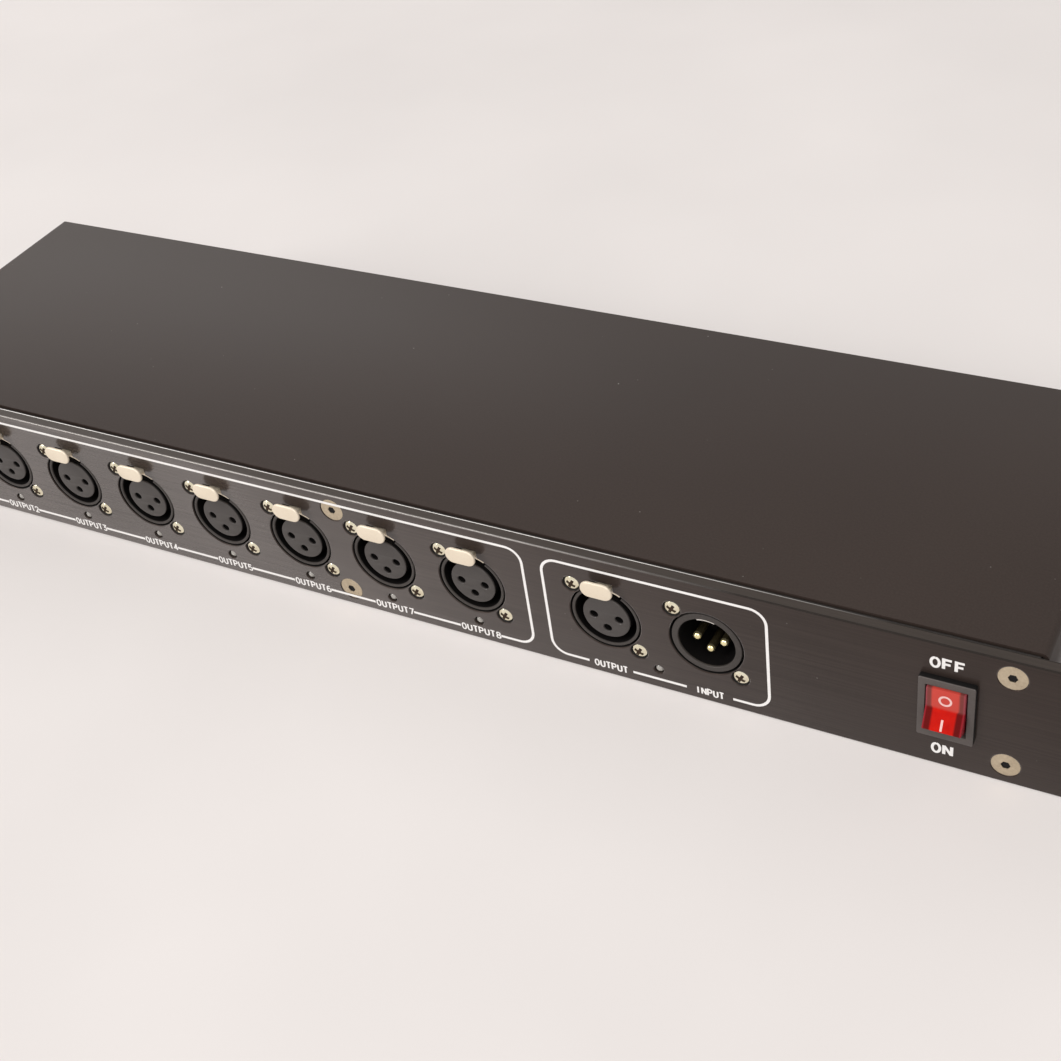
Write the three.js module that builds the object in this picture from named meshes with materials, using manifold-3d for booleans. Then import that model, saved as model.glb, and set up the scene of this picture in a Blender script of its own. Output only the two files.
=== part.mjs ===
// A one-unit rack splitter for stage lighting control. Nine latching sockets, one plug-in and a rocker
// switch sit in a thick front panel, with a folded steel chassis and cover behind it.
// Lengths are in millimetres. X runs along the panel, Y back into the rack and Z up.
import * as THREE from 'three';
import { mergeVertices } from 'three/addons/utils/BufferGeometryUtils.js';
import Module from 'manifold-3d';

const wasm = await Module();
wasm.setup();

// Fits shared by every piece
const seatGap = 0.2;
const fitGap = 0.3;
const cutOverrun = 1;
const weldDistance = 0.0001;

// Numbers of flat sides on round forms
const wideSides = 28;
const bodySides = 18;
const wallHoleSides = 16;
const screwSides = 12;
const smallSides = 10;
const tinySides = 8;
const hiddenSides = 6;
const hexSides = 6;
const cornerSteps = 2;
const domeSteps = 3;

// Front panel
const panelWidth = 482.6;
const panelHeight = 44;
const panelThickness = 3.6;
const panelCorner = 0.8;
const rackSlotInset = 8.75;
const rackSlotRise = 31.75;
const rackSlotLength = 10.2;
const rackSlotWidth = 6.8;

// Sockets along the panel
const outputCount = 8;
const socketPitchShare = 0.0742;
const lastOutputShare = 0.104;
const throughGapShare = 0.1051;
const socketHeight = 22.5;
const noseRadius = 10.9;
const noseRecess = 0.4;
const grooveRadius = 9.7;
const flangeWidth = 25;
const flangeDrop = 13;
const flangeRise = 14.4;
const flangeThickness = 3;
const flangeCorner = 5;
const barrelRadius = 11.5;
const barrelLength = 10.8;
const barrelEndWall = 1.6;
const endHoleRadius = 5.3;

// Screws that hold each socket
const socketScrewAcross = 19.6;
const socketScrewRise = 20.2;
const socketScrewHeadRadius = 3.2;
const socketScrewRadius = 1.6;
const socketThreadRadius = 1.25;

// Contact insert of a socket
const insertRadius = 7.5;
const contactSpread = 8;
const lowContactDrop = 4.1;
const contactHoleRadius = 1.3;
const contactHoleDepth = 12;
const tailWidth = 1.1;
const tailSpreadShare = 0.8;

// Latch of a socket
const tabWidth = 9.8;
const tabHeight = 6.1;
const tabThickness = 1.4;
const tabProud = 3;
const tabLift = 9.75;
const neckWidth = 6;
const neckBottom = 10.4;
const neckTop = 12.6;
const neckLength = 10.8;
const latchPlateWidth = 10.2;
const latchPlateRadius = 10.15;
const latchPlateThickness = 0.6;
const latchPlateLength = 14.3;
const hookReach = 1.2;
const hookThickness = 1.5;
const hookWidth = 4;
const pivotLift = 11.5;
const pivotRadius = 0.8;
const pivotGrip = 0.9;
const channelRoof = 13.2;
const channelSideWall = 1.5;

// Plug-in for the incoming line
const plugBoreRadius = 8.2;
const plugBoreDepth = 12.8;
const plugEndHoleRadius = 7.2;
const pinRadius = 1.2;
const pinTipRecess = 2.2;
const pinTipRound = 0.7;
const catchWidth = 8.2;
const catchThickness = 0.5;
const catchLength = 8;

// Indicator lamps
const lampDrop = 15.3;
const lampRadius = 1.5;
const lampHoleRadius = 1.8;
const lampCollarRadius = 1.9;
const lampCollarLength = 1;
const lampLength = 5.3;
const lampLegWidth = 0.5;
const lampLegSpacing = 2.54;

// Screws that hold the panel
const panelScrewInset = 7.4;
const panelScrewRise = 31.8;
const panelScrewHeight = 22.2;
const panelScrewHeadRadius = 4;
const panelScrewHeadDepth = 2.1;
const panelScrewRecess = 0.1;
const panelScrewRadius = 2;
const panelScrewLength = 10;
const panelScrewSocketAcross = 2.5;
const panelScrewSocketDepth = 1.6;
const clinchNutRadius = 3.1;
const clinchNutLength = 3;

// Chassis and cover
const sheetThickness = 1.2;
const bendRadius = 0.8;
const bodyWidth = 420.4;
const bodyBack = 117.2;
const coverStart = 5.2;
const coverFootGap = 0.4;
const topLipDepth = 10.2;
const sideFlangeHeight = 14;
const sideFlangeInset = 8;

// Connector board
const boardFront = 24;
const boardThickness = 1.6;
const boardLow = 6;
const boardHigh = 39.6;
const boardMargin = 17.5;
const chipWidth = 10;
const chipHeight = 6.5;
const chipDepth = 2;
const busSocketWidth = 22;
const busSocketHeight = 8;
const busSocketDepth = 7;

// Power supply board
const supplyShare = 0.3;
const supplyY = 72;
const supplyLength = 84;
const supplyWidth = 46;
const studHeight = 6;
const studRadius = 2.6;
const studInset = 4;
const transformerLength = 24;
const transformerWidth = 22;
const transformerHeight = 20;
const transformerX = 4;
const capacitorRadius = 7;
const capacitorHeight = 24;
const capacitorX = -26;
const heatSinkLength = 22;
const heatSinkThickness = 2;
const heatSinkHeight = 18;
const heatSinkX = 28;

// Rocker switch
const switchShare = 0.4446;
const switchHeight = 22.4;
const bezelWidth = 15;
const bezelHeight = 21;
const bezelThickness = 1.8;
const bezelCorner = 0.8;
const switchBodyWidth = 12.8;
const switchBodyHeight = 18.8;
const switchBodyDepth = 15;
const switchWindowWidth = 11;
const switchWindowHeight = 16.4;
const switchCavityDepth = 11;
const snapHeight = 0.7;
const snapLength = 4;
const snapWidth = 6;
const bladeWidth = 4.8;
const bladeThickness = 0.8;
const bladeLength = 7;
const bladeSpacing = 6.2;
const rockerThrow = 28;
const rockerCrest = 5.6;
const rockerPivotDepth = 2.9;
const rockerSkirt = 5;
const rockerTail = 4;
const rockerTailWidth = 5;
const axleRadius = 1.1;
const axleGrip = 0.7;

// Mains inlet and fuse drawer
const inletShare = 0.42;
const inletHeight = 22;
const inletFlangeWidth = 31;
const inletFlangeHeight = 34;
const inletFlangeThickness = 2.5;
const inletFlangeCorner = 2;
const inletBodyWidth = 27;
const inletBodyHeight = 31;
const inletBodyDepth = 24;
const inletSocketWidth = 24;
const inletSocketHeight = 15.6;
const inletSocketChamfer = 4;
const inletSocketDepth = 16;
const inletSocketLift = 5.6;
const inletPinSpacing = 14;
const inletPinWidth = 2;
const inletPinHeight = 4;
const inletPinDrop = 1;
const inletEarthRise = 4;
const inletPinSink = 2;
const drawerWidth = 21;
const drawerHeight = 7.4;
const drawerDepth = 20;
const drawerDrop = 10.4;
const drawerLipDepth = 1.4;
const drawerPullWidth = 8;
const drawerPullHeight = 2;

// Values that follow from the ones above
const wallFront = panelThickness + seatGap;
const wallBack = wallFront + sheetThickness;
const flangeFront = wallBack + seatGap;
const flangeBack = flangeFront + flangeThickness;
const barrelBack = flangeBack + barrelLength;
const pivotY = flangeFront + flangeThickness / 2;
const channelHalf = latchPlateWidth / 2 + fitGap;
const pivotReach = channelHalf + pivotGrip;
const channelBack = noseRecess + seatGap + latchPlateLength + fitGap + seatGap;
const notchHalf = neckWidth / 2 + fitGap;
const socketHoleRadius = noseRadius + fitGap;
const coverTop = panelHeight;
const lipTop = coverTop - sheetThickness - seatGap;
const coverHalf = bodyWidth / 2;
const trayHalf = coverHalf - sheetThickness - seatGap;
const rackSlotX = panelWidth / 2 - rackSlotInset;
const socketPitch = bodyWidth * socketPitchShare;
const lastOutputX = bodyWidth * lastOutputShare;
const throughX = lastOutputX + bodyWidth * throughGapShare;
const inputX = throughX + socketPitch;
const throughLampX = (throughX + inputX) / 2;
const switchX = bodyWidth * switchShare;
const supplyX = bodyWidth * supplyShare;
const inletX = bodyWidth * inletShare;
const panelScrewX = coverHalf - panelScrewInset;
const middleScrewX = (outputX(outputCount - 3) + outputX(outputCount - 2)) / 2;
const lampZ = socketHeight - lampDrop;
const contactPlaces = [
  [-contactSpread / 2, 0],
  [contactSpread / 2, 0],
  [0, -lowContactDrop],
];
const socketScrewPlaces = [
  [-socketScrewAcross / 2, socketScrewRise / 2],
  [socketScrewAcross / 2, -socketScrewRise / 2],
];
const panelScrewPlaces = [-panelScrewX, middleScrewX, panelScrewX].flatMap((x) => [
  [x, panelScrewHeight + panelScrewRise / 2],
  [x, panelScrewHeight - panelScrewRise / 2],
]);

const rockerLean = THREE.MathUtils.degToRad(rockerThrow / 2);
const proudEnd = rockerEnd().rotateAround(new THREE.Vector2(), rockerLean);
const rockerFront = rockerPivotDepth + proudEnd.x;
const inletFace = bodyBack + seatGap + inletFlangeThickness;

// The upper end of the rocker's face, about its axle, with the rocker level
function rockerEnd() {
  const windowReach = switchWindowHeight / 2 - fitGap;
  const faceLength = windowReach - rockerCrest * Math.sin(rockerLean);
  const sink = faceLength * Math.sin(rockerLean);
  return new THREE.Vector2(-rockerCrest - sink, faceLength * Math.cos(rockerLean));
}

function outputX(index) {
  return lastOutputX - (outputCount - 1 - index) * socketPitch;
}

const femaleSockets = [];
for (let index = 0; index < outputCount; index += 1) {
  femaleSockets.push({ name: `output_${index + 1}`, x: outputX(index), lampX: outputX(index) });
}
femaleSockets.push({ name: 'through', x: throughX, lampX: throughLampX });
const allSocketX = [...femaleSockets.map((socket) => socket.x), inputX];

// Solids

function toSolid(geometry) {
  geometry.deleteAttribute('normal');
  geometry.deleteAttribute('uv');
  const merged = mergeVertices(geometry, weldDistance);
  return new wasm.Manifold(new wasm.Mesh({
    numProp: 3,
    vertProperties: new Float32Array(merged.attributes.position.array),
    triVerts: new Uint32Array(merged.index.array),
  }));
}

function toGeometry(solid) {
  const mesh = solid.getMesh();
  const geometry = new THREE.BufferGeometry();
  geometry.setAttribute('position', new THREE.BufferAttribute(mesh.vertProperties, 3));
  geometry.setIndex(new THREE.BufferAttribute(mesh.triVerts, 1));
  return geometry;
}

function join(first, ...others) {
  return others.reduce((total, next) => total.add(next), first);
}

function cut(first, ...others) {
  return others.reduce((total, next) => total.subtract(next), first);
}

function box(lowX, highX, lowY, highY, lowZ, highZ) {
  const geometry = new THREE.BoxGeometry(highX - lowX, highY - lowY, highZ - lowZ);
  geometry.translate((lowX + highX) / 2, (lowY + highY) / 2, (lowZ + highZ) / 2);
  return toSolid(geometry);
}

// A round rod along Y, with a flat side facing up
function rod(radius, lowY, highY, sides, x = 0, z = 0, backRadius = radius) {
  const geometry = new THREE.CylinderGeometry(backRadius, radius, highY - lowY, sides);
  geometry.rotateY(Math.PI / sides);
  geometry.translate(x, (lowY + highY) / 2, z);
  return toSolid(geometry);
}

function crossRod(radius, lowX, highX, sides, y, z) {
  const geometry = new THREE.CylinderGeometry(radius, radius, highX - lowX, sides);
  geometry.rotateZ(Math.PI / 2);
  geometry.translate((lowX + highX) / 2, y, z);
  return toSolid(geometry);
}

function uprightRod(radius, lowZ, highZ, sides, x, y) {
  const geometry = new THREE.CylinderGeometry(radius, radius, highZ - lowZ, sides);
  geometry.rotateX(Math.PI / 2);
  geometry.translate(x, y, (lowZ + highZ) / 2);
  return toSolid(geometry);
}

// A profile of [radius, y] points turned about the Y axis
function turned(points, sides) {
  const profile = points.map(([radius, y]) => new THREE.Vector2(radius, y));
  return toSolid(new THREE.LatheGeometry(profile, sides));
}

// An outline in X and Z, drawn out from lowY to highY
function plateAcross(shape, lowY, highY) {
  const geometry = new THREE.ExtrudeGeometry(shape, {
    depth: highY - lowY,
    bevelEnabled: false,
    curveSegments: cornerSteps,
  });
  geometry.rotateX(Math.PI / 2);
  geometry.translate(0, highY, 0);
  return toSolid(geometry);
}

// An outline in Y and Z, drawn out from lowX to highX
function plateAlong(shape, lowX, highX) {
  const geometry = new THREE.ExtrudeGeometry(shape, {
    depth: highX - lowX,
    bevelEnabled: false,
    curveSegments: cornerSteps,
  });
  const turn = new THREE.Matrix4().makeBasis(
    new THREE.Vector3(0, 1, 0),
    new THREE.Vector3(0, 0, 1),
    new THREE.Vector3(1, 0, 0),
  );
  geometry.applyMatrix4(turn);
  geometry.translate(lowX, 0, 0);
  return toSolid(geometry);
}

function roundedOutline(lowX, highX, lowZ, highZ, radius) {
  const shape = new THREE.Shape();
  shape.absarc(highX - radius, lowZ + radius, radius, -Math.PI / 2, 0);
  shape.absarc(highX - radius, highZ - radius, radius, 0, Math.PI / 2);
  shape.absarc(lowX + radius, highZ - radius, radius, Math.PI / 2, Math.PI);
  shape.absarc(lowX + radius, lowZ + radius, radius, Math.PI, Math.PI * 1.5);
  shape.closePath();
  return shape;
}

// A curved strip over the top of a circle
function archOutline(radius, thickness, width) {
  const reach = Math.asin(width / 2 / radius);
  const arch = new THREE.Shape();
  arch.absarc(0, 0, radius + thickness, Math.PI / 2 - reach, Math.PI / 2 + reach, false);
  arch.absarc(0, 0, radius, Math.PI / 2 + reach, Math.PI / 2 - reach, true);
  arch.closePath();
  return arch;
}

function polygon(points) {
  return new THREE.Shape(points.map(([a, b]) => new THREE.Vector2(a, b)));
}

// The cut edge of a sheet folded along a line of corners that all turn left, with its thickness inside
function foldedOutline(corners, thickness, innerRadius) {
  const outerRadius = innerRadius + thickness;
  const points = corners.map(([a, b]) => new THREE.Vector2(a, b));
  const ways = points.slice(1).map((point, index) => point.clone().sub(points[index]).normalize());
  const lefts = ways.map((way) => new THREE.Vector2(-way.y, way.x));
  const bends = ways.slice(1).map((way, index) => ({
    centre: points[index + 1].clone()
      .addScaledVector(ways[index], -outerRadius)
      .addScaledVector(lefts[index], outerRadius),
    start: Math.atan2(-lefts[index].y, -lefts[index].x),
    end: Math.atan2(-lefts[index + 1].y, -lefts[index + 1].x),
  }));
  const shape = new THREE.Shape();
  shape.moveTo(points[0].x, points[0].y);
  for (const bend of bends) {
    shape.absarc(bend.centre.x, bend.centre.y, outerRadius, bend.start, bend.end, false);
  }
  const last = points[points.length - 1];
  shape.lineTo(last.x, last.y);
  const lastInside = last.clone().addScaledVector(lefts[lefts.length - 1], thickness);
  shape.lineTo(lastInside.x, lastInside.y);
  for (const bend of [...bends].reverse()) {
    shape.absarc(bend.centre.x, bend.centre.y, innerRadius, bend.end, bend.start, true);
  }
  const firstInside = points[0].clone().addScaledVector(lefts[0], thickness);
  shape.lineTo(firstInside.x, firstInside.y);
  shape.closePath();
  return shape;
}

// Front panel

function socketCutter(x, withNotch, sides, lowY, highY) {
  const hole = rod(socketHoleRadius, lowY, highY, sides, x, socketHeight);
  if (!withNotch) {
    return hole;
  }
  const notchTop = socketHeight + channelRoof;
  return hole.add(box(x - notchHalf, x + notchHalf, lowY, highY, socketHeight, notchTop));
}

function countersink(headRadius, shankRadius, sides) {
  const depth = headRadius - shankRadius;
  const profile = [
    [0, -cutOverrun],
    [headRadius, -cutOverrun],
    [headRadius, 0],
    [shankRadius, depth],
    [shankRadius, panelThickness + cutOverrun],
    [0, panelThickness + cutOverrun],
  ];
  return turned(profile, sides);
}

function obround(x, z) {
  const low = x - rackSlotLength / 2;
  const high = x + rackSlotLength / 2;
  const radius = rackSlotWidth / 2;
  return roundedOutline(low, high, z - radius, z + radius, radius);
}

function frontPanel() {
  const half = panelWidth / 2;
  const front = -cutOverrun;
  const back = panelThickness + cutOverrun;
  const cutters = [switchCutter(front, back), socketCutter(inputX, false, wideSides, front, back)];
  for (const socket of femaleSockets) {
    cutters.push(socketCutter(socket.x, true, wideSides, front, back));
    cutters.push(rod(lampHoleRadius, front, back, tinySides, socket.lampX, lampZ));
  }
  const sink = countersink(socketScrewHeadRadius, socketScrewRadius, tinySides);
  for (const socketX of allSocketX) {
    for (const [x, z] of socketScrewPlaces) {
      cutters.push(sink.translate([socketX + x, 0, socketHeight + z]));
    }
  }
  const screwSink = countersink(panelScrewHeadRadius + seatGap, panelScrewRadius + seatGap, screwSides);
  for (const [x, z] of panelScrewPlaces) {
    cutters.push(screwSink.translate([x, 0, z]));
  }
  for (const side of [-1, 1]) {
    for (const level of [-1, 1]) {
      const slot = obround(side * rackSlotX, panelHeight / 2 + level * rackSlotRise / 2);
      cutters.push(plateAcross(slot, front, back));
    }
  }
  const blank = plateAcross(roundedOutline(-half, half, 0, panelHeight, panelCorner), 0, panelThickness);
  return cut(blank, ...cutters);
}

function switchCutter(lowY, highY) {
  const halfWidth = switchBodyWidth / 2 + seatGap;
  const halfHeight = switchBodyHeight / 2 + seatGap;
  return box(
    switchX - halfWidth,
    switchX + halfWidth,
    lowY,
    highY,
    switchHeight - halfHeight,
    switchHeight + halfHeight,
  );
}

// Chassis tray and cover

function chassisTray() {
  const lipFront = wallFront + topLipDepth;
  const lipBack = bodyBack - topLipDepth;
  const side = foldedOutline(
    [
      [lipFront, lipTop],
      [wallFront, lipTop],
      [wallFront, 0],
      [bodyBack, 0],
      [bodyBack, lipTop],
      [lipBack, lipTop],
    ],
    sheetThickness,
    bendRadius,
  );
  let tray = plateAlong(side, -trayHalf, trayHalf);
  for (const end of [-1, 1]) {
    const outer = end * trayHalf;
    const inner = end * (trayHalf - sheetThickness);
    const low = Math.min(outer, inner);
    const high = Math.max(outer, inner);
    const front = wallBack + sideFlangeInset;
    const back = bodyBack - sheetThickness - sideFlangeInset;
    tray = tray.add(box(low, high, front, back, sheetThickness / 2, sideFlangeHeight));
  }
  const nutBack = wallBack + clinchNutLength;
  for (const [x, z] of panelScrewPlaces) {
    tray = tray.add(rod(clinchNutRadius, wallFront + sheetThickness / 2, nutBack, hiddenSides, x, z));
  }
  const studTop = sheetThickness + studHeight;
  for (const [x, y] of supplyStudPlaces()) {
    tray = tray.add(uprightRod(studRadius, sheetThickness / 2, studTop, hiddenSides, x, y));
  }
  const low = wallFront - cutOverrun;
  const high = wallBack + cutOverrun;
  const cutters = [switchCutter(low, high), socketCutter(inputX, false, wallHoleSides, low, high)];
  for (const socket of femaleSockets) {
    cutters.push(socketCutter(socket.x, true, wallHoleSides, low, high));
    cutters.push(rod(lampHoleRadius, low, high, hiddenSides, socket.lampX, lampZ));
  }
  for (const socketX of allSocketX) {
    for (const [x, z] of socketScrewPlaces) {
      cutters.push(rod(socketScrewRadius, low, high, hiddenSides, socketX + x, socketHeight + z));
    }
  }
  for (const [x, z] of panelScrewPlaces) {
    cutters.push(rod(panelScrewRadius + fitGap, low, nutBack + cutOverrun, tinySides, x, z));
  }
  for (const end of [-1, 1]) {
    const inner = end * (trayHalf - bendRadius);
    const outer = end * (trayHalf + cutOverrun);
    cutters.push(box(
      Math.min(inner, outer),
      Math.max(inner, outer),
      low,
      bodyBack + cutOverrun,
      lipTop - bendRadius,
      lipTop + cutOverrun,
    ));
  }
  cutters.push(box(
    inletX - inletBodyWidth / 2 - seatGap,
    inletX + inletBodyWidth / 2 + seatGap,
    bodyBack - sheetThickness - cutOverrun,
    bodyBack + cutOverrun,
    inletHeight - inletBodyHeight / 2 - seatGap,
    inletHeight + inletBodyHeight / 2 + seatGap,
  ));
  return cut(tray, ...cutters);
}

function topCover() {
  const outline = foldedOutline(
    [[coverHalf, coverFootGap], [coverHalf, coverTop], [-coverHalf, coverTop], [-coverHalf, coverFootGap]],
    sheetThickness,
    bendRadius,
  );
  return plateAcross(outline, coverStart, bodyBack);
}

// Sockets: each is drawn about its own axis, with Y measured from the face of the panel

function socketFlange(rise) {
  const half = flangeWidth / 2;
  return plateAcross(roundedOutline(-half, half, -flangeDrop, rise, flangeCorner), flangeFront, flangeBack);
}

function threadHoles() {
  return socketScrewPlaces.map(([x, z]) => rod(
    socketThreadRadius,
    flangeFront - cutOverrun,
    flangeBack + cutOverrun,
    hiddenSides,
    x,
    z,
  ));
}

function femaleHousing() {
  const latchHouseHalf = channelHalf + channelSideWall;
  const shell = join(
    rod(noseRadius, noseRecess, flangeBack, bodySides),
    socketFlange(flangeRise),
    rod(barrelRadius, flangeFront, barrelBack, bodySides),
    box(-latchHouseHalf, latchHouseHalf, flangeFront, channelBack + channelSideWall, 0, flangeRise),
  );
  const boreEnd = barrelBack - barrelEndWall;
  const bore = rod(grooveRadius, -cutOverrun, boreEnd, bodySides);
  const endHole = rod(endHoleRadius, boreEnd - cutOverrun, barrelBack + cutOverrun, smallSides);
  const channel = box(-channelHalf, channelHalf, -cutOverrun, channelBack, 0, channelRoof);
  const holeReach = pivotReach + fitGap;
  const pivotHole = crossRod(pivotRadius + fitGap, -holeReach, holeReach, hiddenSides, pivotY, pivotLift);
  return cut(shell, bore, endHole, channel, pivotHole, ...threadHoles());
}

function femaleInsert() {
  const boreEnd = barrelBack - barrelEndWall;
  const bossRadius = endHoleRadius - fitGap;
  const bossEnd = barrelBack + barrelEndWall;
  const half = tailWidth / 2;
  const tails = contactPlaces.map(([wellX, wellZ]) => {
    const x = wellX * tailSpreadShare;
    const z = wellZ * tailSpreadShare;
    return box(x - half, x + half, barrelBack, boardFront - fitGap, z - half, z + half);
  });
  const body = join(
    rod(insertRadius, noseRecess, boreEnd - fitGap, bodySides),
    rod(bossRadius, boreEnd - fitGap - seatGap, bossEnd, smallSides),
    ...tails,
  );
  const wells = contactPlaces.map(([x, z]) => rod(
    contactHoleRadius,
    noseRecess - cutOverrun,
    noseRecess + contactHoleDepth,
    tinySides,
    x,
    z,
  ));
  return cut(body, ...wells);
}

// A latch rocks on its cross pin: pressing the tab down lifts the hook at the far end
function latch() {
  const tabHalf = tabWidth / 2;
  const tabFace = -tabProud;
  const tabBack = tabFace + tabThickness;
  const tabOutline = roundedOutline(-tabHalf, tabHalf, tabLift, tabLift + tabHeight, tabHeight / 2);
  const tab = plateAcross(tabOutline, tabFace, tabBack);
  const neckStart = tabBack - seatGap;
  const neck = box(-neckWidth / 2, neckWidth / 2, neckStart, neckStart + neckLength, neckBottom, neckTop);
  const plateFront = noseRecess + seatGap;
  const plateBack = plateFront + latchPlateLength;
  const arch = archOutline(latchPlateRadius, latchPlateThickness, latchPlateWidth);
  const plate = plateAcross(arch, plateFront, plateBack);
  const hookTop = latchPlateRadius + latchPlateThickness / 2;
  const hookHalf = hookWidth / 2;
  const hookLow = latchPlateRadius - hookReach;
  const hook = box(-hookHalf, hookHalf, plateBack - hookThickness, plateBack, hookLow, hookTop);
  const pin = crossRod(pivotRadius, -pivotReach, pivotReach, hiddenSides, pivotY, pivotLift);
  return join(tab, neck, plate, hook, pin);
}

// Plug-in for the incoming line, drawn in the same way

function plugHousing() {
  const shell = join(
    rod(noseRadius, noseRecess, flangeBack, bodySides),
    socketFlange(flangeDrop),
    rod(barrelRadius, flangeFront, barrelBack, bodySides),
  );
  const boreEnd = barrelBack - barrelEndWall;
  const bore = rod(plugBoreRadius, -cutOverrun, boreEnd, bodySides);
  const endHole = rod(plugEndHoleRadius, boreEnd - cutOverrun, barrelBack + cutOverrun, bodySides);
  const pocketDepth = catchThickness + fitGap + seatGap;
  const pocketStart = plugBoreRadius - seatGap;
  const pocketShape = archOutline(pocketStart, pocketDepth + seatGap, catchWidth + 2 * fitGap);
  const pocketBack = noseRecess + seatGap + catchLength + fitGap;
  const pocket = plateAcross(pocketShape, -cutOverrun, pocketBack);
  return cut(shell, bore, endHole, pocket, ...threadHoles());
}

function catchPlate() {
  const front = noseRecess + seatGap;
  const shape = archOutline(plugBoreRadius + seatGap, catchThickness, catchWidth);
  return plateAcross(shape, front, front + catchLength);
}

function plugInsert() {
  const front = noseRecess + plugBoreDepth;
  const boreEnd = barrelBack - barrelEndWall;
  const body = join(
    rod(plugBoreRadius - fitGap, front, boreEnd - fitGap, bodySides),
    rod(plugEndHoleRadius - fitGap, boreEnd - fitGap - seatGap, barrelBack, bodySides),
  );
  const holes = contactPlaces.map(([x, z]) => rod(
    pinRadius + seatGap,
    front - cutOverrun,
    barrelBack + cutOverrun,
    smallSides,
    x,
    z,
  ));
  return cut(body, ...holes);
}

function plugPin() {
  const tip = pinTipRecess;
  const shoulder = barrelBack;
  const end = boardFront - fitGap;
  return turned([
    [0, tip],
    [pinRadius - pinTipRound, tip],
    [pinRadius, tip + pinTipRound],
    [pinRadius, shoulder],
    [tailWidth / 2, shoulder],
    [tailWidth / 2, end],
    [0, end],
  ], smallSides);
}

// Indicator lamp, standing on two legs from the connector board

function lamp() {
  const collarFront = wallBack + seatGap;
  const back = collarFront + lampCollarLength;
  const tip = back - lampLength;
  const domeBase = tip + lampRadius;
  const dome = [];
  for (let step = 0; step < domeSteps; step += 1) {
    const turn = (step / domeSteps) * (Math.PI / 2);
    dome.push([lampRadius * Math.sin(turn), domeBase - lampRadius * Math.cos(turn)]);
  }
  const body = turned([
    ...dome,
    [lampRadius, domeBase],
    [lampRadius, collarFront],
    [lampCollarRadius, collarFront],
    [lampCollarRadius, back],
    [0, back],
  ], tinySides);
  const half = lampLegWidth / 2;
  const legs = [-1, 1].map((side) => {
    const x = side * (lampLegSpacing / 2);
    return box(x - half, x + half, back - lampCollarLength / 2, boardFront - fitGap, -half, half);
  });
  return join(body, ...legs);
}

// Panel screw: a flush head with a six-sided socket

function panelScrew() {
  const face = panelScrewRecess;
  const body = turned([
    [0, face],
    [panelScrewHeadRadius, face],
    [panelScrewRadius, face + panelScrewHeadDepth],
    [panelScrewRadius, face + panelScrewLength],
    [0, face + panelScrewLength],
  ], screwSides);
  const socketRadius = panelScrewSocketAcross / Math.sqrt(3);
  const socket = rod(socketRadius, face - cutOverrun, face + panelScrewSocketDepth, hexSides);
  return cut(body, socket);
}

// Boards

function connectorBoard() {
  const low = outputX(0) - boardMargin;
  const high = inputX + boardMargin;
  const back = boardFront + boardThickness;
  const middle = boardFront + boardThickness / 2;
  let board = box(low, high, boardFront, back, boardLow, boardHigh);
  const chipHalf = chipWidth / 2;
  const chipLow = socketHeight - chipHeight / 2;
  for (const x of allSocketX) {
    const chip = box(x - chipHalf, x + chipHalf, middle, back + chipDepth, chipLow, chipLow + chipHeight);
    board = board.add(chip);
  }
  const busX = throughLampX;
  const busHalf = busSocketWidth / 2;
  const busLow = boardHigh - busSocketHeight - boardThickness;
  return board.add(box(
    busX - busHalf,
    busX + busHalf,
    middle,
    back + busSocketDepth,
    busLow,
    busLow + busSocketHeight,
  ));
}

function supplyStudPlaces() {
  const places = [];
  for (const sideX of [-1, 1]) {
    for (const sideY of [-1, 1]) {
      places.push([
        supplyX + sideX * (supplyLength / 2 - studInset),
        supplyY + sideY * (supplyWidth / 2 - studInset),
      ]);
    }
  }
  return places;
}

function powerSupply() {
  const base = sheetThickness + studHeight + seatGap;
  const top = base + boardThickness;
  const middle = base + boardThickness / 2;
  const halfX = supplyLength / 2;
  const halfY = supplyWidth / 2;
  const boxHalfX = transformerLength / 2;
  const boxHalfY = transformerWidth / 2;
  const sinkHalf = heatSinkLength / 2;
  const sinkX = supplyX + heatSinkX;
  const coreX = supplyX + transformerX;
  return join(
    box(supplyX - halfX, supplyX + halfX, supplyY - halfY, supplyY + halfY, base, top),
    box(
      coreX - boxHalfX,
      coreX + boxHalfX,
      supplyY - boxHalfY,
      supplyY + boxHalfY,
      middle,
      top + transformerHeight,
    ),
    uprightRod(capacitorRadius, middle, top + capacitorHeight, screwSides, supplyX + capacitorX, supplyY),
    box(
      sinkX - heatSinkThickness / 2,
      sinkX + heatSinkThickness / 2,
      supplyY - sinkHalf,
      supplyY + sinkHalf,
      middle,
      top + heatSinkHeight,
    ),
  );
}

// Rocker switch, drawn about the centre of its window

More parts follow.
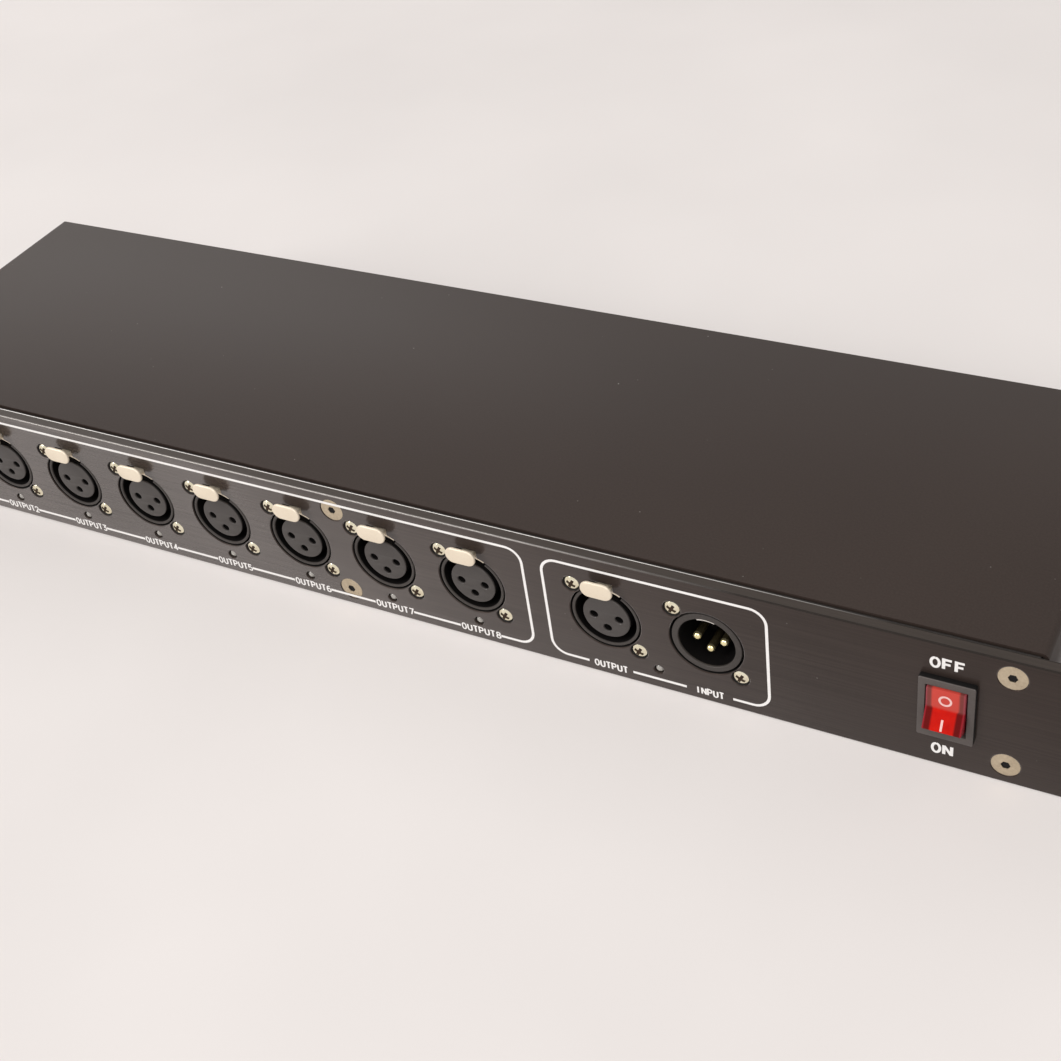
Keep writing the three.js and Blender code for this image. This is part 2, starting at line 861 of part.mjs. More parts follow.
function switchHousing() {
  const bezelHalf = bezelWidth / 2;
  const bezelRise = bezelHeight / 2;
  const bodyHalf = switchBodyWidth / 2;
  const bodyRise = switchBodyHeight / 2;
  const snapStart = wallBack + fitGap;
  const bezelOutline = roundedOutline(-bezelHalf, bezelHalf, -bezelRise, bezelRise, bezelCorner);
  const snapHalf = snapWidth / 2;
  const snapTop = bodyRise + snapHeight;
  const snapEnd = snapStart + snapLength;
  const snapOutline = polygon([
    [snapStart, -snapTop],
    [snapEnd, -bodyRise],
    [snapEnd, bodyRise],
    [snapStart, snapTop],
  ]);
  const blades = [-1, 0, 1].map((place) => {
    const z = place * bladeSpacing;
    const end = switchBodyDepth + bladeLength;
    const half = bladeWidth / 2;
    const thick = bladeThickness / 2;
    return box(-half, half, switchBodyDepth - seatGap, end, z - thick, z + thick);
  });
  const body = join(
    plateAcross(bezelOutline, -bezelThickness, -seatGap / 2),
    box(-bodyHalf, bodyHalf, -seatGap, switchBodyDepth, -bodyRise, bodyRise),
    plateAlong(snapOutline, -snapHalf, snapHalf),
    ...blades,
  );
  const windowHalf = switchWindowWidth / 2;
  const windowRise = switchWindowHeight / 2;
  const windowFront = -bezelThickness - cutOverrun;
  const window = box(-windowHalf, windowHalf, windowFront, switchCavityDepth, -windowRise, windowRise);
  const axleReach = windowHalf + axleGrip;
  const axleHole = crossRod(axleRadius + fitGap, -axleReach, axleReach, smallSides, rockerPivotDepth, 0);
  return cut(body, window, axleHole);
}

// The rocker's side view, about its axle: two faces that meet in a shallow valley
function switchRocker() {
  const end = rockerEnd();
  const along = new THREE.Vector2(Math.cos(rockerLean), Math.sin(rockerLean));
  const skirt = end.clone().addScaledVector(along, rockerSkirt);
  const outline = polygon([
    [-rockerCrest, 0],
    [end.x, -end.y],
    [skirt.x, -skirt.y],
    [rockerTail, -rockerTailWidth / 2],
    [rockerTail, rockerTailWidth / 2],
    [skirt.x, skirt.y],
    [end.x, end.y],
  ]);
  const half = switchWindowWidth / 2 - fitGap;
  const body = plateAlong(outline, -half, half);
  const axleReach = switchWindowWidth / 2 + axleGrip - fitGap;
  return body.add(crossRod(axleRadius, -axleReach, axleReach, smallSides, 0, 0));
}

// Mains inlet and its fuse drawer, drawn about the middle of the flange

function mainsInlet() {
  const flangeHalf = inletFlangeWidth / 2;
  const flangeHigh = inletFlangeHeight / 2;
  const bodyHalf = inletBodyWidth / 2;
  const bodyHigh = inletBodyHeight / 2;
  const flangeStart = bodyBack + seatGap;
  const face = inletFace;
  const outline = roundedOutline(-flangeHalf, flangeHalf, -flangeHigh, flangeHigh, inletFlangeCorner);
  const body = join(
    plateAcross(outline, flangeStart, face),
    box(-bodyHalf, bodyHalf, face - inletBodyDepth, flangeStart + seatGap, -bodyHigh, bodyHigh),
  );
  const half = inletSocketWidth / 2;
  const rise = inletSocketHeight / 2;
  const low = inletSocketLift - rise;
  const high = inletSocketLift + rise;
  const socketOutline = polygon([
    [-half, low],
    [half, low],
    [half, high - inletSocketChamfer],
    [half - inletSocketChamfer, high],
    [inletSocketChamfer - half, high],
    [-half, high - inletSocketChamfer],
  ]);
  const socket = plateAcross(socketOutline, face - inletSocketDepth, face + cutOverrun);
  const drawerHalf = drawerWidth / 2 + fitGap;
  const drawerRise = drawerHeight / 2 + fitGap;
  const slot = box(
    -drawerHalf,
    drawerHalf,
    face - drawerDepth - fitGap,
    face + cutOverrun,
    -drawerDrop - drawerRise,
    -drawerDrop + drawerRise,
  );
  const pinPlaces = [
    [-inletPinSpacing / 2, inletSocketLift - inletPinDrop],
    [inletPinSpacing / 2, inletSocketLift - inletPinDrop],
    [0, inletSocketLift - inletPinDrop + inletEarthRise],
  ];
  const pins = pinPlaces.map(([x, z]) => box(
    x - inletPinWidth / 2,
    x + inletPinWidth / 2,
    face - inletSocketDepth - inletPinSink,
    face - inletPinSink,
    z - inletPinHeight / 2,
    z + inletPinHeight / 2,
  ));
  return join(cut(body, socket, slot), ...pins);
}

function fuseDrawer() {
  const face = inletFace;
  const half = drawerWidth / 2;
  const rise = drawerHeight / 2;
  const pullHalf = drawerPullWidth / 2;
  const pullRise = drawerPullHeight / 2;
  return join(
    box(-half, half, face - drawerDepth, face, -drawerDrop - rise, -drawerDrop + rise),
    box(
      -pullHalf,
      pullHalf,
      face - seatGap,
      face + drawerLipDepth,
      -drawerDrop - pullRise,
      -drawerDrop + pullRise,
    ),
  );
}

// Colours and finishes

const finishes = {
  anodised: { color: 0x2d2a29, roughness: 0.42, metalness: 0.7 },
  powderCoat: { color: 0x2f2c2b, roughness: 0.6, metalness: 0.1 },
  satinBlack: { color: 0x2a2828, roughness: 0.4, metalness: 0.4 },
  greyPlastic: { color: 0x3b3938, roughness: 0.55, metalness: 0 },
  creamMetal: { color: 0xd9cdb6, roughness: 0.35, metalness: 0.8 },
  brightSteel: { color: 0xc9c5bc, roughness: 0.25, metalness: 1 },
  gold: { color: 0xd8b765, roughness: 0.25, metalness: 1 },
  clearPlastic: { color: 0xc9c8c4, roughness: 0.15, metalness: 0 },
  boardGreen: { color: 0x1f5a38, roughness: 0.5, metalness: 0 },
  blackPlastic: { color: 0x1b1a1a, roughness: 0.4, metalness: 0 },
  redPlastic: { color: 0xc71c12, roughness: 0.2, metalness: 0 },
};

function addPiece(group, name, solid, finish) {
  const mesh = new THREE.Mesh(toGeometry(solid), new THREE.MeshStandardMaterial(finishes[finish]));
  mesh.name = name;
  group.add(mesh);
  return mesh;
}

// Assembly: the front face of the panel starts at Y = 0, then the whole is centred front to back

const splitter = new THREE.Group();
const frontReach = Math.min(-tabProud, rockerFront);
splitter.position.y = -(frontReach + inletFace + drawerLipDepth) / 2;

addPiece(splitter, 'front_panel', frontPanel(), 'anodised');
addPiece(splitter, 'chassis_tray', chassisTray(), 'powderCoat');
addPiece(splitter, 'top_cover', topCover(), 'powderCoat');
addPiece(splitter, 'connector_board', connectorBoard(), 'boardGreen');
addPiece(splitter, 'power_supply', powerSupply(), 'boardGreen');

const housingSolid = femaleHousing();
const insertSolid = femaleInsert();
const latchSolid = latch();
const lampSolid = lamp();
for (const socket of femaleSockets) {
  const place = new THREE.Group();
  place.position.set(socket.x, 0, socketHeight);
  splitter.add(place);
  addPiece(place, `${socket.name}_housing`, housingSolid, 'satinBlack');
  addPiece(place, `${socket.name}_insert`, insertSolid, 'greyPlastic');
  addPiece(place, `${socket.name}_latch`, latchSolid, 'creamMetal');
  const light = addPiece(splitter, `${socket.name}_lamp`, lampSolid, 'clearPlastic');
  light.position.set(socket.lampX, 0, lampZ);
}

const plugPlace = new THREE.Group();
plugPlace.position.set(inputX, 0, socketHeight);
splitter.add(plugPlace);
addPiece(plugPlace, 'input_housing', plugHousing(), 'satinBlack');
addPiece(plugPlace, 'input_insert', plugInsert(), 'blackPlastic');
addPiece(plugPlace, 'input_catch_plate', catchPlate(), 'brightSteel');
const pinSolid = plugPin();
contactPlaces.forEach(([x, z], index) => {
  const pin = addPiece(plugPlace, `input_pin_${index + 1}`, pinSolid, 'gold');
  pin.position.set(x, 0, z);
});

const screwSolid = panelScrew();
panelScrewPlaces.forEach(([x, z], index) => {
  const screw = addPiece(splitter, `panel_screw_${index + 1}`, screwSolid, 'brightSteel');
  screw.position.set(x, 0, z);
});

const switchPlace = new THREE.Group();
switchPlace.position.set(switchX, 0, switchHeight);
splitter.add(switchPlace);
addPiece(switchPlace, 'switch_housing', switchHousing(), 'blackPlastic');
const rocker = addPiece(switchPlace, 'switch_rocker', switchRocker(), 'redPlastic');
rocker.position.y = rockerPivotDepth;
rocker.rotation.x = -rockerLean;

const inletPlace = new THREE.Group();
inletPlace.position.set(inletX, 0, inletHeight);
splitter.add(inletPlace);
addPiece(inletPlace, 'mains_inlet', mainsInlet(), 'blackPlastic');
addPiece(inletPlace, 'fuse_drawer', fuseDrawer(), 'blackPlastic');

export default splitter;
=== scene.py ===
import bpy, bmesh, math
from mathutils import Matrix, Vector


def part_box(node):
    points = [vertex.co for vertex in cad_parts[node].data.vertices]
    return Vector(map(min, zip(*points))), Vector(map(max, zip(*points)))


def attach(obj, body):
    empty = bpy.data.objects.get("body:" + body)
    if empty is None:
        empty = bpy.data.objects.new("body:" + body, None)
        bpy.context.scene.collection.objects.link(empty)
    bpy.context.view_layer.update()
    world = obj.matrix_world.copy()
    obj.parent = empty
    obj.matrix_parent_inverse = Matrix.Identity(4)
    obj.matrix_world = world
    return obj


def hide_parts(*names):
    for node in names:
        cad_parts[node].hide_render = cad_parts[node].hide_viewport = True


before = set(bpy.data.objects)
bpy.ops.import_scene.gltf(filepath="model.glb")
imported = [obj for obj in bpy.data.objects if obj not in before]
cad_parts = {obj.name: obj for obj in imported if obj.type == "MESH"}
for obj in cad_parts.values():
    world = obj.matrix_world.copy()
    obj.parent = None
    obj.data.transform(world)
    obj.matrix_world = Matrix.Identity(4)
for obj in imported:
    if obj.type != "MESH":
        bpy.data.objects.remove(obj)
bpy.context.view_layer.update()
print("frame loaded:", len(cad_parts), "nodes")

# Pieces are drawn in millimetres about their own axis, with y = 0 at the front of the panel
mm = 0.001
overlap = 0.1  # how far the shells of one piece run into each other
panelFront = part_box("front_panel")[0].y / mm


def middleOf(node):
    low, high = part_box(node)
    return (low.x + high.x) / 2 / mm, (low.z + high.z) / 2 / mm


femaleNames = [n[: -len("_insert")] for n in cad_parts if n.endswith("_insert") and n != "input_insert"]
socketPlaces = {name: middleOf(name + "_insert") for name in femaleNames + ["input"]}


def linked(name, data):
    item = bpy.data.objects.new(name, data)
    bpy.context.scene.collection.objects.link(item)
    return item


# Some of the values of a dictionary, by their names
def pick(sizes, names):
    return [sizes[name] for name in names.split()]


# Camera: a long lens from the right front corner, above the unit
cameraSetup = {"lens": 55.204, "place": (0.264156, -0.354029, 0.336044), "turn": (50.7602, 7.1584, 27.7795)}
cameraData = bpy.data.cameras.new("camera")
cameraData.sensor_width = 36
cameraData.lens = cameraSetup["lens"]
cameraData.clip_start = 0.01
camera = linked("camera", cameraData)
camera.location = cameraSetup["place"]
camera.rotation_euler = [math.radians(a) for a in cameraSetup["turn"]]
bpy.context.scene.camera = camera
bpy.context.scene.view_settings.view_transform = "Standard"


# Node helpers
def newGroup(name, inputs, outputs):
    tree = bpy.data.node_groups.new(name, "ShaderNodeTree")
    for title, kind, value in inputs:
        socket = tree.interface.new_socket(title, in_out="INPUT", socket_type=kind)
        socket.default_value = value
    for title, kind in outputs:
        tree.interface.new_socket(title, in_out="OUTPUT", socket_type=kind)
    return tree, tree.nodes.new("NodeGroupInput"), tree.nodes.new("NodeGroupOutput")


def noiseNode(tree, vector, scale, detail, roughness=0.5):
    noise = tree.nodes.new("ShaderNodeTexNoise")
    noise.inputs["Scale"].default_value = scale
    noise.inputs["Detail"].default_value = detail
    noise.inputs["Roughness"].default_value = roughness
    tree.links.new(vector, noise.inputs["Vector"])
    return noise.outputs["Fac"]


def mapRange(tree, value, fromLow, fromHigh, toLow=0.0, toHigh=1.0):
    node = tree.nodes.new("ShaderNodeMapRange")
    for title, number in (("From Min", fromLow), ("From Max", fromHigh), ("To Min", toLow), ("To Max", toHigh)):
        node.inputs[title].default_value = number
    tree.links.new(value, node.inputs["Value"])
    return node.outputs["Result"]


def mathNode(tree, operation, first, second):
    node = tree.nodes.new("ShaderNodeMath")
    node.operation = operation
    for socket, value in zip(node.inputs, (first, second)):
        if isinstance(value, (int, float)):
            socket.default_value = value
        else:
            tree.links.new(value, socket)
    return node.outputs[0]


def objectPlace(tree):
    return tree.nodes.new("ShaderNodeTexCoord").outputs["Object"]


def objectParts(tree):
    parts = tree.nodes.new("ShaderNodeSeparateXYZ")
    tree.links.new(objectPlace(tree), parts.inputs[0])
    return parts.outputs


# Each of the two is a plain colour or a node's output
def mixColors(tree, amount, first, second):
    node = tree.nodes.new("ShaderNodeMix")
    node.data_type = "RGBA"
    tree.links.new(amount, node.inputs[0])
    for socket, value in ((node.inputs[6], first), (node.inputs[7], second)):
        if isinstance(value, tuple):
            socket.default_value = (*value, 1)
        else:
            tree.links.new(value, socket)
    return node.outputs[2]


def placedGroup(tree, group, values):
    node = tree.nodes.new("ShaderNodeGroup")
    node.node_tree = group
    for title, value in values.items():
        node.inputs[title].default_value = value
    return node.outputs


# Grain: one stretched noise for fine texture and one slow noise for cloudiness
grainLook = {"fineShare": 0.6, "cloudShare": 0.4, "spreadFrom": (0.3, 0.7), "bumpDistance": 0.04, "clouds": 30}
grain, grainIn, grainOut = newGroup(
    "surface grain",
    [("Stretch", "NodeSocketVector", (900, 900, 900)), ("Clouds", "NodeSocketFloat", 30.0)],
    [("Fine", "NodeSocketFloat"), ("Cloud", "NodeSocketFloat")],
)
stretched = grain.nodes.new("ShaderNodeVectorMath")
stretched.operation = "MULTIPLY"
grain.links.new(objectPlace(grain), stretched.inputs[0])
grain.links.new(grainIn.outputs["Stretch"], stretched.inputs[1])
grain.links.new(noiseNode(grain, stretched.outputs[0], 1.0, 3.0, 0.6), grainOut.inputs["Fine"])
cloudNode = grain.nodes.new("ShaderNodeTexNoise")
cloudNode.inputs["Detail"].default_value = 2.0
grain.links.new(objectPlace(grain), cloudNode.inputs["Vector"])
grain.links.new(grainIn.outputs["Clouds"], cloudNode.inputs["Scale"])
grain.links.new(cloudNode.outputs["Fac"], grainOut.inputs["Cloud"])

# Dust: sparse pale specks and a few faint scuffs
dustLook = {
    "color": (0.42, 0.4, 0.38), "cells": 260, "speck": (0.075, 0.03), "patches": 95, "patchFrom": (0.6, 0.68),
    "scuffs": 42, "scuffFrom": (0.66, 0.8), "roughening": 0.12,
}
dust, dustIn, dustOut = newGroup(
    "dust and scuffs",
    [("Amount", "NodeSocketFloat", 0.5)],
    [("Specks", "NodeSocketFloat"), ("Scuffs", "NodeSocketFloat")],
)
cells = dust.nodes.new("ShaderNodeTexVoronoi")
cells.inputs["Scale"].default_value = dustLook["cells"]
dust.links.new(objectPlace(dust), cells.inputs["Vector"])
specks = mapRange(dust, cells.outputs["Distance"], *dustLook["speck"])
patches = mapRange(dust, noiseNode(dust, objectPlace(dust), dustLook["patches"], 2), *dustLook["patchFrom"])
scuffs = mapRange(dust, noiseNode(dust, objectPlace(dust), dustLook["scuffs"], 8, 0.7), *dustLook["scuffFrom"])
for title, mask in (("Specks", mathNode(dust, "MULTIPLY", specks, patches)), ("Scuffs", scuffs)):
    dust.links.new(mathNode(dust, "MULTIPLY", mask, dustIn.outputs["Amount"]), dustOut.inputs[title])

# Plain numbers of a finish and the shader's inputs that take them
shaderInputs = {
    "anisotropic": "Anisotropic", "grainTurn": "Anisotropic Rotation", "coatRoughness": "Coat Roughness",
    "coatIor": "Coat IOR", "transmission": "Transmission Weight", "ior": "IOR", "specular": "Specular IOR Level",
}


# One finish: colour, grain in the colour, roughness and bump, and dust where it is asked for
def makeFinish(name, look):
    material = bpy.data.materials.new(name)
    material.use_nodes = True
    tree = material.node_tree
    shader = tree.nodes["Principled BSDF"]
    shader.inputs["Metallic"].default_value = look.get("metallic", 0.0)
    for key, title in shaderInputs.items():
        if key in look:
            shader.inputs[title].default_value = look[key]
    grains = placedGroup(
        tree, grain, {"Stretch": look["stretch"], "Clouds": look.get("clouds", grainLook["clouds"])})
    # colour runs from the shade to the tint with the grain and the clouds together
    blend = mathNode(tree, "ADD", mathNode(tree, "MULTIPLY", grains["Fine"], grainLook["fineShare"]),
                     mathNode(tree, "MULTIPLY", grains["Cloud"], grainLook["cloudShare"]))
    spread = mapRange(tree, blend, *grainLook["spreadFrom"])
    color = mixColors(tree, spread, look["shade"], look["tint"])
    rough = mapRange(tree, spread, 0, 1, *look["rough"])
    if "dust" in look:
        masks = placedGroup(tree, dust, {"Amount": look["dust"]})
        color = mixColors(tree, masks["Specks"], color, dustLook["color"])
        rough = mathNode(tree, "ADD", rough, mathNode(tree, "MULTIPLY", masks["Scuffs"], dustLook["roughening"]))
    if "grazingGloss" in look:
        # the surface is glossier at a grazing angle
        facing = tree.nodes.new("ShaderNodeLayerWeight").outputs["Facing"]
        gloss = mathNode(tree, "POWER", mapRange(tree, facing, *look["glossFrom"]), look["glossPower"])
        gloss = mathNode(tree, "MULTIPLY", gloss, mapRange(tree, spread, 0, 1, *look["grazingGloss"]))
        tree.links.new(mathNode(tree, "MINIMUM", gloss, 1.0), shader.inputs["Coat Weight"])
    if "overlay" in look:
        color = look["overlay"](tree, color)
    tree.links.new(color, shader.inputs["Base Color"])
    tree.links.new(rough, shader.inputs["Roughness"])
    bump = tree.nodes.new("ShaderNodeBump")
    bump.inputs["Strength"].default_value = look["bump"]
    bump.inputs["Distance"].default_value = grainLook["bumpDistance"] * mm
    tree.links.new(grains["Fine"], bump.inputs["Height"])
    tree.links.new(bump.outputs["Normal"], shader.inputs["Normal"])
    return material


# A painted highlight on the panel's top edges fades to a dark unlit colour towards the right end
def fadeToRight(low, high, unlitEdge=(0.03, 0.025, 0.022)):
    return lambda tree, color: mixColors(tree, mapRange(tree, objectParts(tree)["X"], low, high), color, unlitEdge)


# The rocker is clear red round a solid core: its sides are painted darker as shade inside the clear plastic, its
# upper half and upper sides are painted paler as a reflection, and its rims carry a painted highlight
rockerBand = {
    "upperFrom": (0.0234, 0.0242), "coreHalf": (0.0031, 0.0036), "blur": (-0.00025, 0.0003),
    "rimHighlightFrom": (0.0046, 0.0049),
    # upper is the core's painted reflection, the sides are painted shade, paler above with painted reflection, and
    # the rims are painted highlights
    "upper": (0.50, 0.058, 0.044), "lowerSide": (0.115, 0.002, 0.002), "upperSide": (0.17, 0.040, 0.036),
    "lowerRimHighlight": (0.26, 0.012, 0.02), "upperRimHighlight": (0.26, 0.05, 0.06),
}


def rockerBands(tree, color):
    low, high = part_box("switch_rocker")
    parts = objectParts(tree)
    offCentre = mathNode(tree, "ABSOLUTE", mathNode(tree, "SUBTRACT", parts["X"], (low.x + high.x) / 2), 0)
    upper = mapRange(tree, parts["Z"], *rockerBand["upperFrom"])
    beyond = mathNode(tree, "SUBTRACT", offCentre, mapRange(tree, upper, 0, 1, *rockerBand["coreHalf"]))
    # the upper half is paler with a painted reflection, the sides darker with painted shade, and the rims brighter
    # with a painted highlight
    core = mixColors(tree, upper, color, rockerBand["upper"])
    sides = mixColors(tree, upper, rockerBand["lowerSide"], rockerBand["upperSide"])
    rims = mixColors(tree, upper, rockerBand["lowerRimHighlight"], rockerBand["upperRimHighlight"])
    inner = mixColors(tree, mapRange(tree, beyond, *rockerBand["blur"]), core, sides)
    return mixColors(tree, mapRange(tree, offCentre, *rockerBand["rimHighlightFrom"]), inner, rims)


# Every finish runs from its shade to its tint, with its own grain
finishes = {
    "panel": {"shade": (0.022, 0.0142, 0.0112), "tint": (0.044, 0.0300, 0.0248), "metallic": 0.7,
        "rough": (0.40, 0.48), "stretch": (11, 2400, 2400), "clouds": 14, "bump": 0.12, "anisotropic": 0.9,
        "grainTurn": 0.25, "specular": 0.5, "dust": 0.2, "coatRoughness": 0.2, "coatIor": 2.1,
        "grazingGloss": (0.76, 1.16), "glossFrom": (0.19, 0.438), "glossPower": 3},
    "panelSides": {"shade": (0.030, 0.022, 0.017), "tint": (0.048, 0.037, 0.030), "metallic": 0.4,
        "rough": (0.5, 0.58), "stretch": (40, 1800, 1800), "bump": 0.15},
    # frontEdge and rearEdge are painted highlights on the panel's top edges: bright metal that fades out towards the
    # right
    "frontEdge": {"shade": (0.19, 0.18, 0.17), "tint": (0.27, 0.255, 0.245), "metallic": 0.9, "rough": (0.3, 0.38),
        "stretch": (60, 2400, 2400), "clouds": 60, "bump": 0.05, "overlay": fadeToRight(0.06, 0.13)},
    "rearEdge": {"shade": (0.78, 0.76, 0.74), "tint": (0.94, 0.92, 0.90), "metallic": 0.9, "rough": (0.32, 0.4),
        "stretch": (60, 2400, 2400), "clouds": 60, "bump": 0.05, "overlay": fadeToRight(0.10, 0.17)},
    # near-black painted shade for countersinks, hole walls, hex sockets and the sides of the switch frame
    "paintedShadeBlack": {"shade": (0.004, 0.004, 0.004), "tint": (0.009, 0.008, 0.008), "rough": (0.55, 0.7),
        "stretch": (1500, 1500, 1500), "bump": 0.1, "specular": 0.15},
    "coverPaint": {"shade": (0.0245, 0.0168, 0.0138), "tint": (0.0390, 0.0278, 0.0232), "rough": (0.44, 0.52),
        "specular": 0.22, "stretch": (1500, 1500, 1500), "clouds": 9, "bump": 0.2, "dust": 0.8,
        "coatRoughness": 0.05, "grazingGloss": (1.0, 1.0), "glossFrom": (0.76, 0.86), "glossPower": 1},
    "chassisPaint": {"shade": (0.034, 0.030, 0.028), "tint": (0.052, 0.047, 0.044), "rough": (0.42, 0.54),
        "stretch": (1300, 1300, 1300), "clouds": 12, "bump": 0.25, "dust": 0.3},
    "socketShell": {"shade": (0.033, 0.028, 0.025), "tint": (0.057, 0.050, 0.046), "metallic": 0.3,
        "rough": (0.4, 0.5), "stretch": (1800, 1800, 1800), "bump": 0.12},
    # painted shade in the sockets' grooves and bores; on the plug's floor it also stands for the insert's own black
    "grooveShadeBlack": {"shade": (0.002, 0.002, 0.002), "tint": (0.005, 0.004, 0.004), "rough": (0.5, 0.65),
        "stretch": (1800, 1800, 1800), "bump": 0.1, "specular": 0.12},
    "socketInsert": {"shade": (0.034, 0.029, 0.027), "tint": (0.051, 0.045, 0.042), "rough": (0.34, 0.46),
        "stretch": (2400, 2400, 2400), "clouds": 120, "bump": 0.2},
    "latchMetal": {"shade": (0.73, 0.635, 0.495), "tint": (0.81, 0.725, 0.59), "metallic": 0.3,
        "rough": (0.36, 0.48), "stretch": (1200, 2500, 5200), "clouds": 150, "bump": 0.12},
    "brightSteel": {"shade": (0.72, 0.70, 0.66), "tint": (0.88, 0.86, 0.82), "metallic": 0.9, "rough": (0.2, 0.3),
        "stretch": (700, 3000, 3000), "clouds": 80, "bump": 0.1},
    "screwBrass": {"shade": (0.74, 0.67, 0.47), "tint": (0.95, 0.91, 0.74), "metallic": 1.0, "rough": (0.1, 0.18),
        "stretch": (1500, 1500, 1500), "clouds": 300, "bump": 0.15},
    # painted shade in the screws' cross recesses
    "crossShadeBrown": {"shade": (0.020, 0.010, 0.005), "tint": (0.035, 0.018, 0.009), "rough": (0.5, 0.6),
        "stretch": (1500, 1500, 1500), "bump": 0.1, "specular": 0.2},
    "screwNickel": {"shade": (0.46, 0.38, 0.27), "tint": (0.63, 0.54, 0.40), "metallic": 0.9, "rough": (0.26, 0.38),
        "stretch": (1500, 1500, 1500), "clouds": 200, "bump": 0.15},
    "contactGold": {"shade": (0.84, 0.72, 0.36), "tint": (0.95, 0.86, 0.54), "metallic": 0.9, "rough": (0.14, 0.24),
        "stretch": (2500, 600, 2500), "clouds": 300, "bump": 0.08},
    # the pins' shafts are painted dark as shade deep in the bore
    "pinShaftShade": {"shade": (0.035, 0.028, 0.014), "tint": (0.06, 0.048, 0.024), "metallic": 0.6,
        "rough": (0.3, 0.45), "stretch": (2500, 600, 2500), "clouds": 300, "bump": 0.08},
    "lampLens": {"shade": (0.36, 0.35, 0.32), "tint": (0.52, 0.50, 0.47), "rough": (0.08, 0.14),
        "transmission": 0.25, "ior": 1.5, "stretch": (900, 900, 900), "clouds": 400, "bump": 0.04},
    "switchBlack": {"shade": (0.056, 0.047, 0.043), "tint": (0.078, 0.066, 0.061), "rough": (0.36, 0.46),
        "stretch": (2200, 2200, 2200), "clouds": 90, "bump": 0.2},
    # the rocker's overlay paints its shade, its reflection and its rim highlights into the red
    "rockerRed": {"shade": (0.42, 0.003, 0.001), "tint": (0.53, 0.008, 0.002), "rough": (0.08, 0.14),
        "specular": 0.12, "stretch": (500, 500, 500), "clouds": 220, "bump": 0.05, "overlay": rockerBands},
    "markPink": {"shade": (0.74, 0.46, 0.44), "tint": (0.8, 0.54, 0.51), "rough": (0.3, 0.4),
        "stretch": (1500, 1500, 1500), "bump": 0.1},
    "printWhite": {"shade": (0.74, 0.73, 0.72), "tint": (0.82, 0.81, 0.80), "rough": (0.5, 0.6),
        "stretch": (60, 1800, 1800), "clouds": 60, "bump": 0.15},
    "inletBlack": {"shade": (0.016, 0.015, 0.015), "tint": (0.028, 0.027, 0.026), "rough": (0.36, 0.48),
        "stretch": (1700, 1700, 1700), "clouds": 60, "bump": 0.25},
    "boardGreen": {"shade": (0.012, 0.075, 0.03), "tint": (0.02, 0.115, 0.05), "rough": (0.3, 0.42),
        "stretch": (600, 600, 600), "clouds": 50, "bump": 0.15},
}
materials = {name: makeFinish(name, look) for name, look in finishes.items()}
print("finishes made:", len(materials))


# Mesh helpers
def tidyMesh(bm, mergeDistance=0.0005):
    bmesh.ops.remove_doubles(bm, verts=bm.verts[:], dist=mergeDistance)
    bmesh.ops.recalc_face_normals(bm, faces=bm.faces[:])


# A profile of (radius, y) points turned about the y axis
def lathe(profile, steps, closed=False):
    bm = bmesh.new()
    corners = [bm.verts.new((radius, y, 0)) for radius, y in profile]
    pairs = list(zip(corners, corners[1:]))
    if closed:
        pairs.append((corners[-1], corners[0]))
    for pair in pairs:
        bm.edges.new(pair)
    bmesh.ops.spin(bm, geom=bm.verts[:] + bm.edges[:], cent=(0, 0, 0), axis=(0, 1, 0), angle=math.tau,
                   steps=steps, use_merge=True)
    tidyMesh(bm)
    return bm


# The closed profile of a plain ring, for turning
def band(inside, outside, front, back):
    return [(inside, front), (outside, front), (outside, back), (inside, back)]


def arcPoints(x, z, radius, start, end, steps):
    turns = [math.radians(start + (end - start) * i / steps) for i in range(steps + 1)]
    return [(x + radius * math.cos(a), z + radius * math.sin(a)) for a in turns]


def circle(x, z, radius, steps=32):
    return arcPoints(x, z, radius, 0, 360, steps)[:-1]


def roundedBox(lowX, highX, lowZ, highZ, radius, steps=5):
    corners = ((highX - radius, lowZ + radius, -90), (highX - radius, highZ - radius, 0),
               (lowX + radius, highZ - radius, 90), (lowX + radius, lowZ + radius, 180))
    return [p for x, z, start in corners for p in arcPoints(x, z, radius, start, start + 90, steps)]


def boxOutline(width, height, radius=0.0, x=0.0, z=0.0, steps=5):
    left, right, low, high = x - width / 2, x + width / 2, z - height / 2, z + height / 2
    if radius:
        return roundedBox(left, right, low, high, radius, steps)
    return [(left, low), (right, low), (right, high), (left, high)]


def addPath(curve, points, closed):
    spline = curve.splines.new("POLY")
    spline.points.add(len(points) - 1)
    for point, place in zip(spline.points, points):
        point.co = (*place, 1)
    spline.use_cyclic_u = closed


def shellOf(curve):
    drawn = linked("drawing", curve)
    mesh = bpy.data.meshes.new_from_object(drawn.evaluated_get(bpy.context.evaluated_depsgraph_get()))
    bm = bmesh.new()
    bm.from_mesh(mesh)
    bpy.data.objects.remove(drawn)
    bpy.data.curves.remove(curve)
    bpy.data.meshes.remove(mesh)
    return bm


def moved(bm, x=0.0, y=0.0, z=0.0):
    bmesh.ops.translate(bm, verts=bm.verts[:], vec=(x, y, z))
    return bm


def turned(bm, degrees, axis):
    bmesh.ops.rotate(bm, verts=bm.verts[:], cent=(0, 0, 0), matrix=Matrix.Rotation(math.radians(degrees), 3, axis))
    return bm


# The (radius, y) points of a dome, from its tip to its full radius
def domeProfile(radius, rise, tip, step=10):
    turns = [math.radians(a) for a in range(0, 91, step)]
    return [(radius * math.sin(a), tip + rise * (1 - math.cos(a))) for a in turns]


